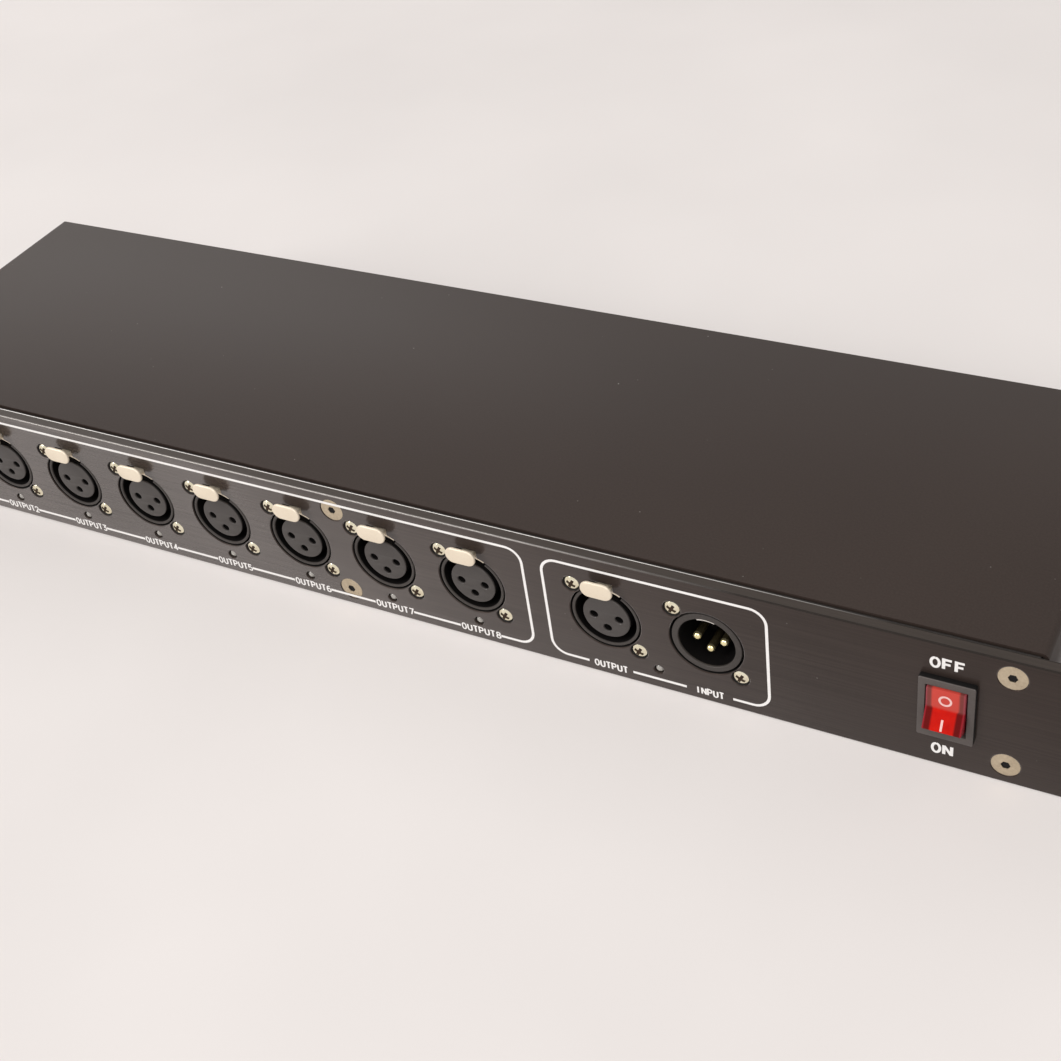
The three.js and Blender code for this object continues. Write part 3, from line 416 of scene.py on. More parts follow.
# A flat outline with holes, drawn in x and z and given depth from frontY to backY with softened edges
def plate(outline, holes, frontY, backY, edge, rounds=2):
    curve = bpy.data.curves.new("outline", "CURVE")
    curve.dimensions = "2D"
    curve.fill_mode = "BOTH"
    curve.extrude = (backY - frontY) / 2 - edge
    curve.bevel_depth = edge
    curve.bevel_resolution = rounds
    curve.offset = -edge
    for loop in [outline, *holes]:
        addPath(curve, [(x, z, 0) for x, z in loop], True)
    bm = moved(turned(shellOf(curve), 90, "X"), 0, (frontY + backY) / 2, 0)
    tidyMesh(bm, 0.002)
    return bm


def softened(bm, edges, offset, segments):
    bmesh.ops.bevel(bm, geom=edges, offset=offset, segments=segments, profile=0.5, affect="EDGES", material=-1)


# The corners that an extrusion has made are moved on
def drawnOut(bm, grown, vec):
    corners = [g for g in grown["geom"] if isinstance(g, bmesh.types.BMVert)]
    bmesh.ops.translate(bm, verts=corners, vec=vec)


def block(low, high, edge=0.0, rounds=2):
    bm = bmesh.new()
    bmesh.ops.create_cube(bm, size=1)
    bmesh.ops.scale(bm, verts=bm.verts[:], vec=[b - a for a, b in zip(low, high)])
    moved(bm, *[(a + b) / 2 for a, b in zip(low, high)])
    if edge:
        softened(bm, bm.edges[:], edge, rounds)
    return bm


def pin(radius, lowX, highX, y, z, steps=20):
    bm = bmesh.new()
    bmesh.ops.create_cone(bm, cap_ends=True, segments=steps, radius1=radius, radius2=radius, depth=highX - lowX)
    return moved(turned(bm, 90, "Y"), (lowX + highX) / 2, y, z)


def shadeByAngle(mesh, sharpAngle):
    mesh.shade_smooth()
    mesh.set_sharp_from_angle(angle=math.radians(sharpAngle))
    return mesh


# Several drawn shells become one mesh, still in millimetres
def together(name, shells, sharpAngle=28):
    whole = bmesh.new()
    for shell in shells:
        part = bpy.data.meshes.new("part")
        shell.to_mesh(part)
        shell.free()
        whole.from_mesh(part)
        bpy.data.meshes.remove(part)
    mesh = bpy.data.meshes.new(name)
    whole.to_mesh(mesh)
    whole.free()
    return shadeByAngle(mesh, sharpAngle)


# A cut shape: what is left of one drawn shell after another is taken out of it
def carved(name, base, cutter):
    baseObject = linked("base", together("base", [base]))
    cutterObject = linked("cutter", together("cutter", [cutter]))
    change = baseObject.modifiers.new("recess", "BOOLEAN")
    change.operation = "DIFFERENCE"
    change.solver = "EXACT"
    change.object = cutterObject
    mesh = bpy.data.meshes.new_from_object(baseObject.evaluated_get(bpy.context.evaluated_depsgraph_get()))
    for item in (baseObject, cutterObject):
        old = item.data
        bpy.data.objects.remove(item)
        bpy.data.meshes.remove(old)
    mesh.name = name
    return shadeByAngle(mesh, 28)


# Puts a copy of a drawn mesh at its place on the panel, in metres, and lets it ride on its body
def addPiece(name, mesh, finish, body="chassis", x=0.0, z=0.0, instead=()):
    copy = mesh.copy()
    copy.name = name
    copy.transform(Matrix.Scale(mm, 4) @ Matrix.Translation((x, panelFront, z)))
    copy.materials.clear()
    copy.materials.append(materials[finish])
    piece = linked(name, copy)
    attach(piece, body)
    if instead:
        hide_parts(*instead)
    return piece


# CAD nodes that keep their own mesh
for node, finish in (("chassis_tray", "chassisPaint"), ("connector_board", "boardGreen"),
                     ("power_supply", "boardGreen"), ("mains_inlet", "inletBlack"), ("fuse_drawer", "inletBlack")):
    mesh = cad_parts[node].data
    mesh.materials.clear()
    mesh.materials.append(materials[finish])


# Front panel: thick plate with the sockets' holes, sunk screw holes and rack slots
panelSizes = {
    "width": 482.6, "height": 44, "thickness": 3.6, "corner": 0.8, "edge": 0.28,
    "socketHole": 11.2, "notchHalf": 3.3, "notchTop": 13.2, "lampHole": 1.8,
    "screwAcross": 19.6, "screwRise": 20.2, "screwSink": 3.0, "screwHole": 1.6,
    "panelSink": 4.2, "panelHole": 2.2, "rackX": 232.55, "rackRise": 31.75,
    "slotLength": 10.2, "slotHeight": 6.8, "switchWidth": 13.2, "switchHeight": 19.2,
    "sinkFront": 0.15, "wallFront": 0.3, "wall": (-0.06, 0.05), "highlightRise": 0.03,
}


def sinkShell(sink, hole, sizes):
    front, back = sizes["sinkFront"], sizes["thickness"] - overlap
    outside = sink + 0.2
    return lathe([(sink, front), (hole, sink - hole + front), (hole, back), (outside, back), (outside, front)],
                 36, closed=True)


# The two small screws of a connector, at its upper left and its lower right
def screwPlaces(x, z, sizes):
    return [(x + side * sizes["screwAcross"] / 2, z - side * sizes["screwRise"] / 2) for side in (-1, 1)]


def buildPanel(sizes):
    half, edge, height, radius = sizes["width"] / 2, *pick(sizes, "edge height socketHole")
    holes, sinks = [], []

    def sinkHole(x, z, sink, hole, steps):
        holes.append(circle(x, z, sink - edge, steps))
        sinks.append(moved(sinkShell(sink - edge, hole, sizes), x, 0, z))

    for name, (x, z) in socketPlaces.items():
        # the female sockets' holes have a notch for the latch, and a lamp's hole beside them
        if name == "input":
            holes.append(circle(x, z, radius, 72))
        else:
            notch, top = sizes["notchHalf"], z + sizes["notchTop"]
            start = math.degrees(math.acos(notch / radius))
            holes.append(arcPoints(x, z, radius, start, -180 - start, 72) + [(x - notch, top), (x + notch, top)])
            holes.append(circle(*middleOf(name + "_lamp"), sizes["lampHole"] - edge, 28))
        for place in screwPlaces(x, z, sizes):
            sinkHole(*place, *pick(sizes, "screwSink screwHole"), 36)
    for index in range(1, 7):
        sinkHole(*middleOf("panel_screw_%d" % index), *pick(sizes, "panelSink panelHole"), 44)
    slotLength, slotHeight, rise = pick(sizes, "slotLength slotHeight rackRise")
    for side in (-1, 1):
        for level in (-1, 1):
            x, z = side * sizes["rackX"], height / 2 + level * rise / 2
            holes.append(boxOutline(slotLength, slotHeight, slotHeight / 2, x, z, 12))
    x, z = middleOf("switch_housing")
    holes.append(boxOutline(*pick(sizes, "switchWidth switchHeight"), x=x, z=z))
    slab = plate(roundedBox(-half, half, 0, height, sizes["corner"]), holes, 0, sizes["thickness"], edge)
    return together("front_panel_plate", [slab], 10), together("panel_sinks", sinks)


# Black rings on the cut walls of the connectors' holes are painted shade
def wallProfile(sizes):
    front, back = sizes["wallFront"], sizes["thickness"] - overlap
    inside, outside = [sizes["socketHole"] + step for step in sizes["wall"]]
    return band(inside, outside, front, back)


def buildHoleWall(sizes):
    return together("hole_wall", [lathe(wallProfile(sizes), 72, closed=True)])


panelMesh, sinkMesh = buildPanel(panelSizes)
panelPlate = addPiece("panel_plate", panelMesh, "panel", instead=["front_panel"])
panelPlate.data.materials.append(materials["panelSides"])  # the sawn sides and the walls of the holes are duller
for side in panelPlate.data.polygons:
    side.material_index = 1 if abs(side.normal.y) < 0.3 else 0
# the countersinks' walls are painted shade, near black
addPiece("panel_sinks", sinkMesh, "paintedShadeBlack")
inputPlace = socketPlaces["input"]
# the input's hole wall is painted shade
addPiece("input_hole_wall", buildHoleWall(panelSizes), "paintedShadeBlack", x=inputPlace[0], z=inputPlace[1])
# Thin bright rods along the top corners of the plate carry a painted highlight, fading out towards the right end
edgeReach = panelSizes["width"] / 2 - panelSizes["corner"]
for place, y in (("front", panelSizes["edge"]), ("rear", panelSizes["thickness"] - panelSizes["edge"])):
    rod = pin(panelSizes["edge"] + panelSizes["highlightRise"], -edgeReach, edgeReach, y,
              panelSizes["height"] - panelSizes["edge"], 24)
    addPiece("panel_%s_edge" % place, together("panel_edge", [rod]), place + "Edge")
print("front panel built")


# Top cover: one folded sheet
coverSizes = {"thickness": 1.2, "bend": 2.0, "edge": 0.15}


def buildCover(sizes):
    low, high = [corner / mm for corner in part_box("top_cover")]
    frontY, backY = low.y - panelFront, high.y - panelFront
    bm = bmesh.new()
    corners = ((low.x, low.z), (low.x, high.z), (high.x, high.z), (high.x, low.z))
    path = [bm.verts.new((x, frontY, z)) for x, z in corners]
    edges = [bm.edges.new(pair) for pair in zip(path, path[1:])]
    drawnOut(bm, bmesh.ops.extrude_edge_only(bm, edges=edges), (0, backY - frontY, 0))
    bends = [e for e in bm.edges if len(e.link_faces) == 2 and abs(e.verts[0].co.y - e.verts[1].co.y) > 1]
    softened(bm, bends, sizes["bend"], 8)
    bmesh.ops.recalc_face_normals(bm, faces=bm.faces[:])
    middle = Vector((0, (frontY + backY) / 2, (low.z + high.z) / 2))
    if sum((f.calc_center_median() - middle).dot(f.normal) for f in bm.faces) < 0:
        bmesh.ops.reverse_faces(bm, faces=bm.faces[:])
    bmesh.ops.solidify(bm, geom=bm.faces[:], thickness=sizes["thickness"])
    bmesh.ops.recalc_face_normals(bm, faces=bm.faces[:])
    rims = [e for e in bm.edges if e.calc_face_angle(0) > math.radians(60)]
    softened(bm, rims, sizes["edge"], 2)
    return together("top_cover_sheet", [bm])


addPiece("cover_sheet", buildCover(coverSizes), "coverPaint", instead=["top_cover"])
print("cover built")


# Female sockets: a shell with its latch channel, a contact insert and a rocking latch
socketSizes = {
    "nose": 10.7, "bore": 9.7, "recess": 0.2, "lip": 0.3, "gapHalf": 5.4,
    "flangeHalf": 12.5, "flangeLow": -13, "flangeHigh": 14.4, "flangeCorner": 5,
    "flangeFront": 5.2, "flangeBack": 8.2, "barrel": 11.5, "channelEnd": 15.8, "barrelBack": 19, "endHole": 5.3,
    "channelRoof": 13.2, "channelOuter": 6.9, "channelFloor": 8, "endWall": 1.6,
    "insert": 7.45, "insertEdge": 0.3, "faceFront": 0.5, "faceDepth": 0.75, "wellDepth": 12, "well": 1.3,
    "faceAside": 0.1, "faceDrop": 0.2, "contacts": ((-4, 0), (4, 0), (0, -4.1)),
    "insertBack": 17.1, "stem": 5, "stemBack": 20.6, "tailHalf": 0.55, "tailBack": 23.7, "tailSpread": 0.8,
}


# A ring that is open at the top, where the latch passes
def openRing(profile, gapHalf, radius, steps):
    bm = bmesh.new()
    corners = [bm.verts.new((0, y, -r)) for r, y in profile]
    for pair in zip(corners, corners[1:] + corners[:1]):
        bm.edges.new(pair)
    sweep = math.pi - math.asin(gapHalf / radius)
    bmesh.ops.spin(bm, geom=bm.verts[:] + bm.edges[:], cent=(0, 0, 0), axis=(0, 1, 0), angle=sweep, steps=steps)
    bmesh.ops.mirror(bm, geom=bm.verts[:] + bm.edges[:] + bm.faces[:], merge_dist=0.001, axis="X")
    bmesh.ops.holes_fill(bm, edges=[e for e in bm.edges if e.is_boundary], sides=len(profile))
    tidyMesh(bm)
    return bm


def buildSocketShell(sizes):
    nose, bore, barrel, front, lip = pick(sizes, "nose bore barrel recess lip")
    step, end, back = sizes["flangeFront"] + overlap, *pick(sizes, "channelEnd barrelBack")
    ring = openRing(
        [(bore, front + lip), (bore + 0.1, front + 0.1), (bore + lip, front), (nose - lip, front),
         (nose - 0.1, front + 0.1), (nose, front + lip), (nose, step), (barrel, step), (barrel, end), (bore, end)],
        sizes["gapHalf"], bore, 40)
    outer, inner, roof, top, floor = pick(sizes, "channelOuter gapHalf channelRoof flangeHigh channelFloor")
    start = math.degrees(math.acos(inner / (bore + overlap)))
    opening = arcPoints(0, 0, bore + overlap, start, -180 - start, 48) + [(-inner, roof), (inner, roof)]
    outline = roundedBox(-sizes["flangeHalf"], sizes["flangeHalf"], sizes["flangeLow"], top, sizes["flangeCorner"], 8)
    flange = plate(outline, [opening], sizes["flangeFront"], sizes["flangeBack"], 0.2, 1)
    channel = plate([(-outer, floor), (-inner, floor), (-inner, roof), (inner, roof), (inner, floor), (outer, floor),
                     (outer, top), (-outer, top)], [], sizes["flangeBack"] - overlap, end + 1.4, 0.1, 1)
    wall = back - sizes["endWall"]
    cup = lathe([(bore, end - overlap), (barrel, end - overlap), (barrel, back), (sizes["endHole"], back),
                 (sizes["endHole"], wall), (bore, wall)], 56, closed=True)
    return together("socket_shell", [ring, flange, channel, cup])


# Black linings on the walls inside the groove, and the body of the insert behind its face, are painted shade
def buildSocketLining(sizes):
    bore, front, back = sizes["bore"], sizes["recess"] + 0.45, sizes["channelEnd"] - overlap
    sleeve = openRing(band(bore - 0.04, bore + 0.2, front, back), sizes["gapHalf"], bore, 40)
    end, hole = sizes["barrelBack"] - sizes["endWall"], sizes["endHole"]
    floor = lathe(band(hole, bore + overlap, end - 0.05, end + overlap), 48, closed=True)
    return together("socket_lining", [sleeve, floor])


def buildSocketInsert(sizes):
    front, radius, waist, stem, stemBack = pick(sizes, "faceFront insert insertBack stem stemBack")
    wellEnd, inner = front + sizes["wellDepth"], radius - 0.2
    wells = [circle(x, z, sizes["well"], 24) for x, z in sizes["contacts"]]
    face = plate(circle(0, 0, radius, 64), wells, front, front + sizes["faceDepth"], sizes["insertEdge"])
    core = plate(circle(0, 0, radius - 0.06, 64), wells, front + sizes["faceDepth"] - overlap, wellEnd, 0.03, 1)
    back = lathe([(0, wellEnd - 0.2), (inner, wellEnd - 0.2), (inner, waist), (stem, waist), (stem, stemBack),
                  (0, stemBack)], 48)
    spread, half = sizes["tailSpread"], sizes["tailHalf"]
    tails = [block((x * spread - half, stemBack - 0.2, z * spread - half),
                   (x * spread + half, sizes["tailBack"], z * spread + half), 0.1) for x, z in sizes["contacts"]]
    return together("socket_face", [face]), together("socket_core", [core, back, *tails])


latchSizes = {
    "tabHalf": 5.0, "tabLow": 9.95, "tabHigh": 15.5, "tabFront": -3.4, "tabBack": -2.4, "tabCorner": 2.75,
    "tabEdge": 0.4, "tabAside": -0.15, "neckHalf": 1.9, "neckLow": 10.4, "neckHigh": 11.9, "neckLength": 10.6,
    "plateRadius": 10.15, "plateThickness": 0.6, "plateHalf": 5.1, "plateFront": 0.6, "plateBack": 14.9,
    "hookHalf": 2, "hookLow": 8.95, "hookLength": 1.5,
    "pivot": 0.8, "pivotY": 6.7, "pivotZ": 11.5, "pivotReach": 6.3,
}


def archOutline(radius, thickness, half):
    reach = math.degrees(math.asin(half / radius))
    outside = arcPoints(0, 0, radius + thickness, 90 - reach, 90 + reach, 18)
    return outside + arcPoints(0, 0, radius, 90 + reach, 90 - reach, 18)


def buildLatch(sizes):
    outline = roundedBox(-sizes["tabHalf"], *pick(sizes, "tabHalf tabLow tabHigh tabCorner"), 8)
    tab = moved(plate(outline, [], *pick(sizes, "tabFront tabBack tabEdge"), 3), sizes["tabAside"])
    neck = block((-sizes["neckHalf"], sizes["tabBack"] - 0.2, sizes["neckLow"]),
                 (sizes["neckHalf"], sizes["tabBack"] + sizes["neckLength"], sizes["neckHigh"]), 0.25)
    arch = plate(archOutline(*pick(sizes, "plateRadius plateThickness plateHalf")), [],
                 *pick(sizes, "plateFront plateBack"), 0.1, 1)
    hook = block((-sizes["hookHalf"], sizes["plateBack"] - sizes["hookLength"], sizes["hookLow"]),
                 (sizes["hookHalf"], sizes["plateBack"], sizes["plateRadius"] + 0.3), 0.15)
    axle = pin(sizes["pivot"], -sizes["pivotReach"], *pick(sizes, "pivotReach pivotY pivotZ"))
    return together("latch_lever", [tab, neck, arch, hook, axle])


def buildNotchedWall(sizes):
    ring = openRing(wallProfile(sizes), sizes["notchHalf"] + 0.3, sizes["socketHole"], 40)
    return together("notched_wall", [ring])


# the notched hole walls of the female sockets are painted shade
wallMesh = buildNotchedWall(panelSizes)
shellMesh = buildSocketShell(socketSizes)
liningMesh = buildSocketLining(socketSizes)
faceMesh, coreMesh = buildSocketInsert(socketSizes)
latchMesh = buildLatch(latchSizes)
for name in femaleNames:
    x, z = socketPlaces[name]
    addPiece(name + "_shell", shellMesh, "socketShell", x=x, z=z, instead=[name + "_housing"])
    addPiece(name + "_lining", liningMesh, "grooveShadeBlack", x=x, z=z)
    addPiece(name + "_hole_wall", wallMesh, "paintedShadeBlack", x=x, z=z)
    faceX, faceZ = x + socketSizes["faceAside"], z - socketSizes["faceDrop"]
    addPiece(name + "_face", faceMesh, "socketInsert", x=faceX, z=faceZ, instead=[name + "_insert"])
    addPiece(name + "_core", coreMesh, "grooveShadeBlack", x=faceX, z=faceZ)
    addPiece(name + "_lever", latchMesh, "latchMetal", body=name + "_latch", x=x, z=z,
             instead=[name + "_latch"])
print("sockets built:", len(femaleNames))


# Incoming plug-in: a wide ring, a deep bore, three pins and a catch plate
plugSizes = {
    "nose": 10.58, "bore": 8.6, "recess": 0.2, "lip": 0.3, "floor": 13.2, "floorEdge": 0.25, "discBack": 17.1,
    "flangeHalf": 12.5, "flangeHigh": 13, "flangeCorner": 5, "flangeFront": 5.2, "flangeBack": 8.2,
    "barrel": 11.5, "barrelBack": 19, "endHole": 7.2, "endWall": 1.6, "stem": 6.9,
    "catchHalf": 2.6, "catchRadius": 8.0, "catchThickness": 0.5, "catchFront": 0.6, "catchBack": 8.6,
    "pin": 1.2, "pinTip": 2.0, "pinNose": 1.5, "tail": 0.55, "tailBack": 23.7, "collar": 1.9, "collarHole": 1.25,
    "contacts": ((-3.9, -0.6), (4.25, -0.65), (0, -4.2)),
}


def buildPlugShell(sizes):
    nose, bore, barrel, front, lip = pick(sizes, "nose bore barrel recess lip")
    back, hole = pick(sizes, "barrelBack endHole")
    step, wall = sizes["flangeFront"] + overlap, back - sizes["endWall"]
    ring = lathe([(bore, front + 0.5), (bore + 0.08, front + 0.12), (bore + 0.25, front), (nose - lip, front),
                  (nose - 0.1, front + 0.1), (nose, front + lip), (nose, step), (barrel, step), (barrel, back),
                  (hole, back), (hole, wall), (bore, wall)], 72, closed=True)
    half, high, corner = pick(sizes, "flangeHalf flangeHigh flangeCorner")
    flange = plate(roundedBox(-half, half, -high, high, corner, 8), [circle(0, 0, bore + 0.4, 48)],
                   *pick(sizes, "flangeFront flangeBack"), 0.2, 1)
    return together("plug_shell", [ring, flange])


def buildPlugLining(sizes):
    bore, front, back = sizes["bore"], sizes["recess"] + 0.6, sizes["floor"] + 1
    return together("plug_lining", [lathe(band(bore - 0.03, bore + 0.2, front, back), 72, closed=True)])


def buildPlugInsert(sizes):
    front, edge, waist, stem, back, outside, hole = pick(
        sizes, "floor floorEdge discBack stem barrelBack collar collarHole")
    rim = sizes["bore"] - 0.3
    disc = lathe([(0, front), (rim - edge, front), (rim, front + edge), (rim, waist), (stem, waist), (stem, back),
                  (0, back)], 56)
    collars = [moved(lathe([(hole, front - 0.5), (outside - 0.2, front - 0.5), (outside, front - 0.3),
                            (outside, front + 0.3), (hole, front + 0.3)], 24, closed=True), x, 0, z)
               for x, z in sizes["contacts"]]
    return together("plug_insert", [disc, *collars])


def buildPlugPin(sizes):
    radius, split = sizes["pin"], sizes["pinTip"] + sizes["pinNose"]
    nose = lathe(domeProfile(radius, radius * 0.8, sizes["pinTip"]) + [(radius, split), (0, split)], 28)
    tail, back, end = pick(sizes, "tail barrelBack tailBack")
    shaft = lathe([(0, split - overlap), (radius, split - overlap), (radius, back), (tail, back), (tail, end),
                   (0, end)], 28)
    return together("plug_pin", [nose]), together("plug_shaft", [shaft])


def buildCatch(sizes):
    arch = archOutline(*pick(sizes, "catchRadius catchThickness catchHalf"))
    return together("catch_spring", [plate(arch, [], *pick(sizes, "catchFront catchBack"), 0.12, 1)])


x, z = socketPlaces["input"]
addPiece("input_shell", buildPlugShell(plugSizes), "socketShell", x=x, z=z, instead=["input_housing"])
# the input's bore lining and its floor are painted shade, over the insert's own black
addPiece("input_lining", buildPlugLining(plugSizes), "grooveShadeBlack", x=x, z=z)
addPiece("input_floor", buildPlugInsert(plugSizes), "grooveShadeBlack", x=x, z=z, instead=["input_insert"])
addPiece("input_catch", buildCatch(plugSizes), "brightSteel", x=x, z=z, instead=["input_catch_plate"])
pinMesh, shaftMesh = buildPlugPin(plugSizes)
for index, (pinX, pinZ) in enumerate(plugSizes["contacts"], 1):
    addPiece("input_contact_%d" % index, pinMesh, "contactGold", x=x + pinX, z=z + pinZ,
             instead=["input_pin_%d" % index])
    # the shaft behind each gold tip is painted shade
    addPiece("input_shaft_%d" % index, shaftMesh, "pinShaftShade", x=x + pinX, z=z + pinZ)
print("plug-in built")


# Indicator lamps: a clear dome over a small bright cup
lampSizes = {
    "radius": 1.38, "tip": 0.1, "collar": 1.9, "collarFront": 5.2, "collarBack": 6.2,
    "cup": ((0, 3.9), (0.35, 3.9), (0.85, 2.9), (1.0, 2.9), (1.0, 4.6), (0, 4.6)),
    "legAcross": 2.54, "legHalf": 0.25, "legFront": 4.5, "legBack": 23.7,
}


def buildLamp(sizes):
    radius, collar, front, back = pick(sizes, "radius collar collarFront collarBack")
    dome = domeProfile(radius, radius, sizes["tip"], 9)
    return together("lamp_dome", [lathe(dome + [(radius, front), (collar, front), (collar, back), (0, back)], 32)])


def buildLampCup(sizes):
    half = sizes["legHalf"]
    legs = [block((x - half, sizes["legFront"], -half), (x + half, sizes["legBack"], half), 0.05)
            for x in (-sizes["legAcross"] / 2, sizes["legAcross"] / 2)]
    return together("lamp_cup", [lathe(sizes["cup"], 24), *legs])


lampMesh = buildLamp(lampSizes)
cupMesh = buildLampCup(lampSizes)
for name in femaleNames:
    x, z = middleOf(name + "_lamp")
    addPiece(name + "_lens", lampMesh, "lampLens", x=x, z=z, instead=[name + "_lamp"])
    addPiece(name + "_lamp_cup", cupMesh, "brightSteel", x=x, z=z)
print("lamps built")


# Screws: raised cross-head ones hold the sockets, flat hex-socket ones hold the panel
screwSizes = {
    "head": 2.32, "rim": 0.42, "rise": 0.6, "edge": 0.2, "under": 1.6, "shank": 1.2, "length": 8,
    "armLength": 3.0, "armWidth": 0.95, "armDepth": 0.55, "turn": 28, "shadeSheet": (-0.12, 0.1),
}
boltSizes = {
    "profile": ((0, 0.1), (3.55, 0.1), (3.86, 0.17), (4, 0.38), (2, 2.35), (2, 10.1), (0, 10.1)),
    "front": 0.1, "socket": 1.35, "socketDepth": 0.5, "shadeSheet": (-0.3, 0.1),
}


def crossOutline(length, width):
    a, b = length / 2, width / 2
    return [(a, -b), (a, b), (b, b), (b, a), (-b, a), (-b, b), (-a, b), (-a, -b), (-b, -b), (-b, -a), (b, -a),
            (b, -b)]


def buildCrossScrew(sizes):
    head, rim, rise, edge, under, shank, length = pick(sizes, "head rim rise edge under shank length")
    dome = [(head * t / 10, rim - rise * (1 - (t / 10) ** 3)) for t in range(11)]
    body = lathe(dome + [(head, rim + edge), (shank, rim + under), (shank, length), (0, length)], 40)
    floor = rim - rise + sizes["armDepth"]
    outline = crossOutline(*pick(sizes, "armLength armWidth"))
    cutter = turned(plate(outline, [], -2, floor, 0.02, 0), sizes["turn"], "Y")
    # a thin dark sheet in the recess is painted shade
    front, back = [floor + step for step in sizes["shadeSheet"]]
    shadeSheet = turned(plate(outline, [], front, back, 0.02, 0), sizes["turn"], "Y")
    return carved("cross_screw", body, cutter), together("cross_dark", [shadeSheet])


def buildHexScrew(sizes):
    body = lathe(sizes["profile"], 48)
    floor = sizes["front"] + sizes["socketDepth"]
    cutter = plate(circle(0, 0, sizes["socket"], 6), [], -2, floor, 0.02, 0)
    # a thin dark sheet in the hex socket is painted shade
    front, back = [floor + step for step in sizes["shadeSheet"]]
    shadeSheet = plate(circle(0, 0, sizes["socket"] - 0.02, 6), [], front, back, 0.02, 0)
    return carved("hex_screw", body, cutter), together("hex_dark", [shadeSheet])


crossMesh, crossDark = buildCrossScrew(screwSizes)
for name, (x, z) in socketPlaces.items():
    for level, (screwX, screwZ) in zip(("upper", "lower"), screwPlaces(x, z, panelSizes)):
        screw = "%s_screw_%s" % (name, level)
        addPiece(screw, crossMesh, "screwBrass", x=screwX, z=screwZ)
        # a dark sheet in the cross recess is painted shade
        addPiece(screw + "_cross", crossDark, "crossShadeBrown", x=screwX, z=screwZ)
# the hex sockets hold a dark sheet of painted shade
hexMesh, hexDark = buildHexScrew(boltSizes)
for index in range(1, 7):
    node, bolt = "panel_screw_%d" % index, "panel_bolt_%d" % index
    x, z = middleOf(node)
    addPiece(bolt, hexMesh, "screwNickel", x=x, z=z, instead=[node])
    addPiece(bolt + "_socket", hexDark, "paintedShadeBlack", x=x, z=z)


# Four black button heads hold the cover at its sides
coverScrewSizes = {
    "radius": 2.9, "height": 1.3, "shank": 1.4, "length": 3.0, "armLength": 3.0, "armWidth": 0.8, "armDepth": 0.9,
    "fromEnds": 20, "z": 9,
}


def buildButtonHead(sizes):
    radius, height, shank, length = pick(sizes, "radius height shank length")
    dome = domeProfile(radius, height, -height)
    body = lathe(dome + [(radius, 0.1), (shank, 0.1), (shank, length), (0, length)], 36)
    cross = crossOutline(*pick(sizes, "armLength armWidth"))
    return carved("button_head", body, plate(cross, [], -3, sizes["armDepth"] - height, 0.02, 0))


buttonMesh = buildButtonHead(coverScrewSizes)
coverLow, coverHigh = [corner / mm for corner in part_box("top_cover")]
fromEnds = coverScrewSizes["fromEnds"]
for side, place in ((-1, "left"), (1, "right")):
    for end, y in (("front", coverLow.y + fromEnds), ("rear", coverHigh.y - fromEnds)):
        placed = buttonMesh.copy()
        sideways = Matrix.Rotation(side * math.pi / 2, 4, "Z")
        placed.transform(Matrix.Translation((side * coverHigh.x, y - panelFront, 0)) @ sideways)
        addPiece("cover_screw_%s_%s" % (place, end), placed, "chassisPaint", z=coverScrewSizes["z"])
print("screws built")


# Rocker switch: a bevelled frame, a body behind it and a clear red rocker
switchSizes = {
    "bezelWidth": 15, "bezelHeight": 21, "bezelFront": -2, "bezelBack": -0.05, "corner": 0.5,
    "bodyWidth": 12.8, "bodyHeight": 18.8, "wallFront": -0.3, "wallBack": 11.2, "bodyBack": 15,
    "windowWidth": 11, "windowHeight": 16.4,
    "bladeHalf": 2.4, "bladeLength": 7, "bladeRise": 6.2, "bladeHalfThick": 0.4,
    "pivot": 1.1, "pivotReach": 5.9, "pivotY": 2.9, "crest": 5.6, "lean": 14, "skirt": 5,
    "tail": 4, "tailHalf": 2.5, "rockerHalf": 5.2, "gap": 0.3, "edge": 0.3,
}
markSizes = {
    "ring": (1.8, 1.2), "ringAlong": 3.0, "bar": (0.6, 3.2), "barAlong": 4.5, "barAside": -0.15,
    "depth": (-0.05, 0.02),
}


def buildSwitchHousing(sizes):
    width, height, front, rear = pick(sizes, "bezelWidth bezelHeight bezelFront bezelBack")
    window = boxOutline(*pick(sizes, "windowWidth windowHeight"))
    bezel = plate(boxOutline(width, height, sizes["corner"]), [window], front, rear, 0.3, 2)
    bodyWidth, bodyHeight, wallFront, wallBack, end = pick(sizes, "bodyWidth bodyHeight wallFront wallBack bodyBack")
    walls = plate(boxOutline(bodyWidth, bodyHeight), [window], wallFront, wallBack, 0.1, 1)
    back = block((-bodyWidth / 2, wallBack - 0.2, -bodyHeight / 2), (bodyWidth / 2, end, bodyHeight / 2), 0.3)
    blade, thick, length, rise = pick(sizes, "bladeHalf bladeHalfThick bladeLength bladeRise")
    blades = [block((-blade, end - 0.2, z - thick), (blade, end + length, z + thick), 0.1)
              for z in (-rise, 0, rise)]
    # the outer sides of the frame are painted near black as shade
    around = boxOutline(width + 0.04, height + 0.04, sizes["corner"])
    sides = plate(around, [boxOutline(width - 0.8, height - 0.8)], front + 0.3, rear, 0.02, 1)
    return together("switch_case", [bezel, walls, back, *blades]), together("switch_frame_sides", [sides])


def leaned(bm, sizes):
    return moved(turned(bm, -sizes["lean"], "X"), 0, sizes["pivotY"], 0)


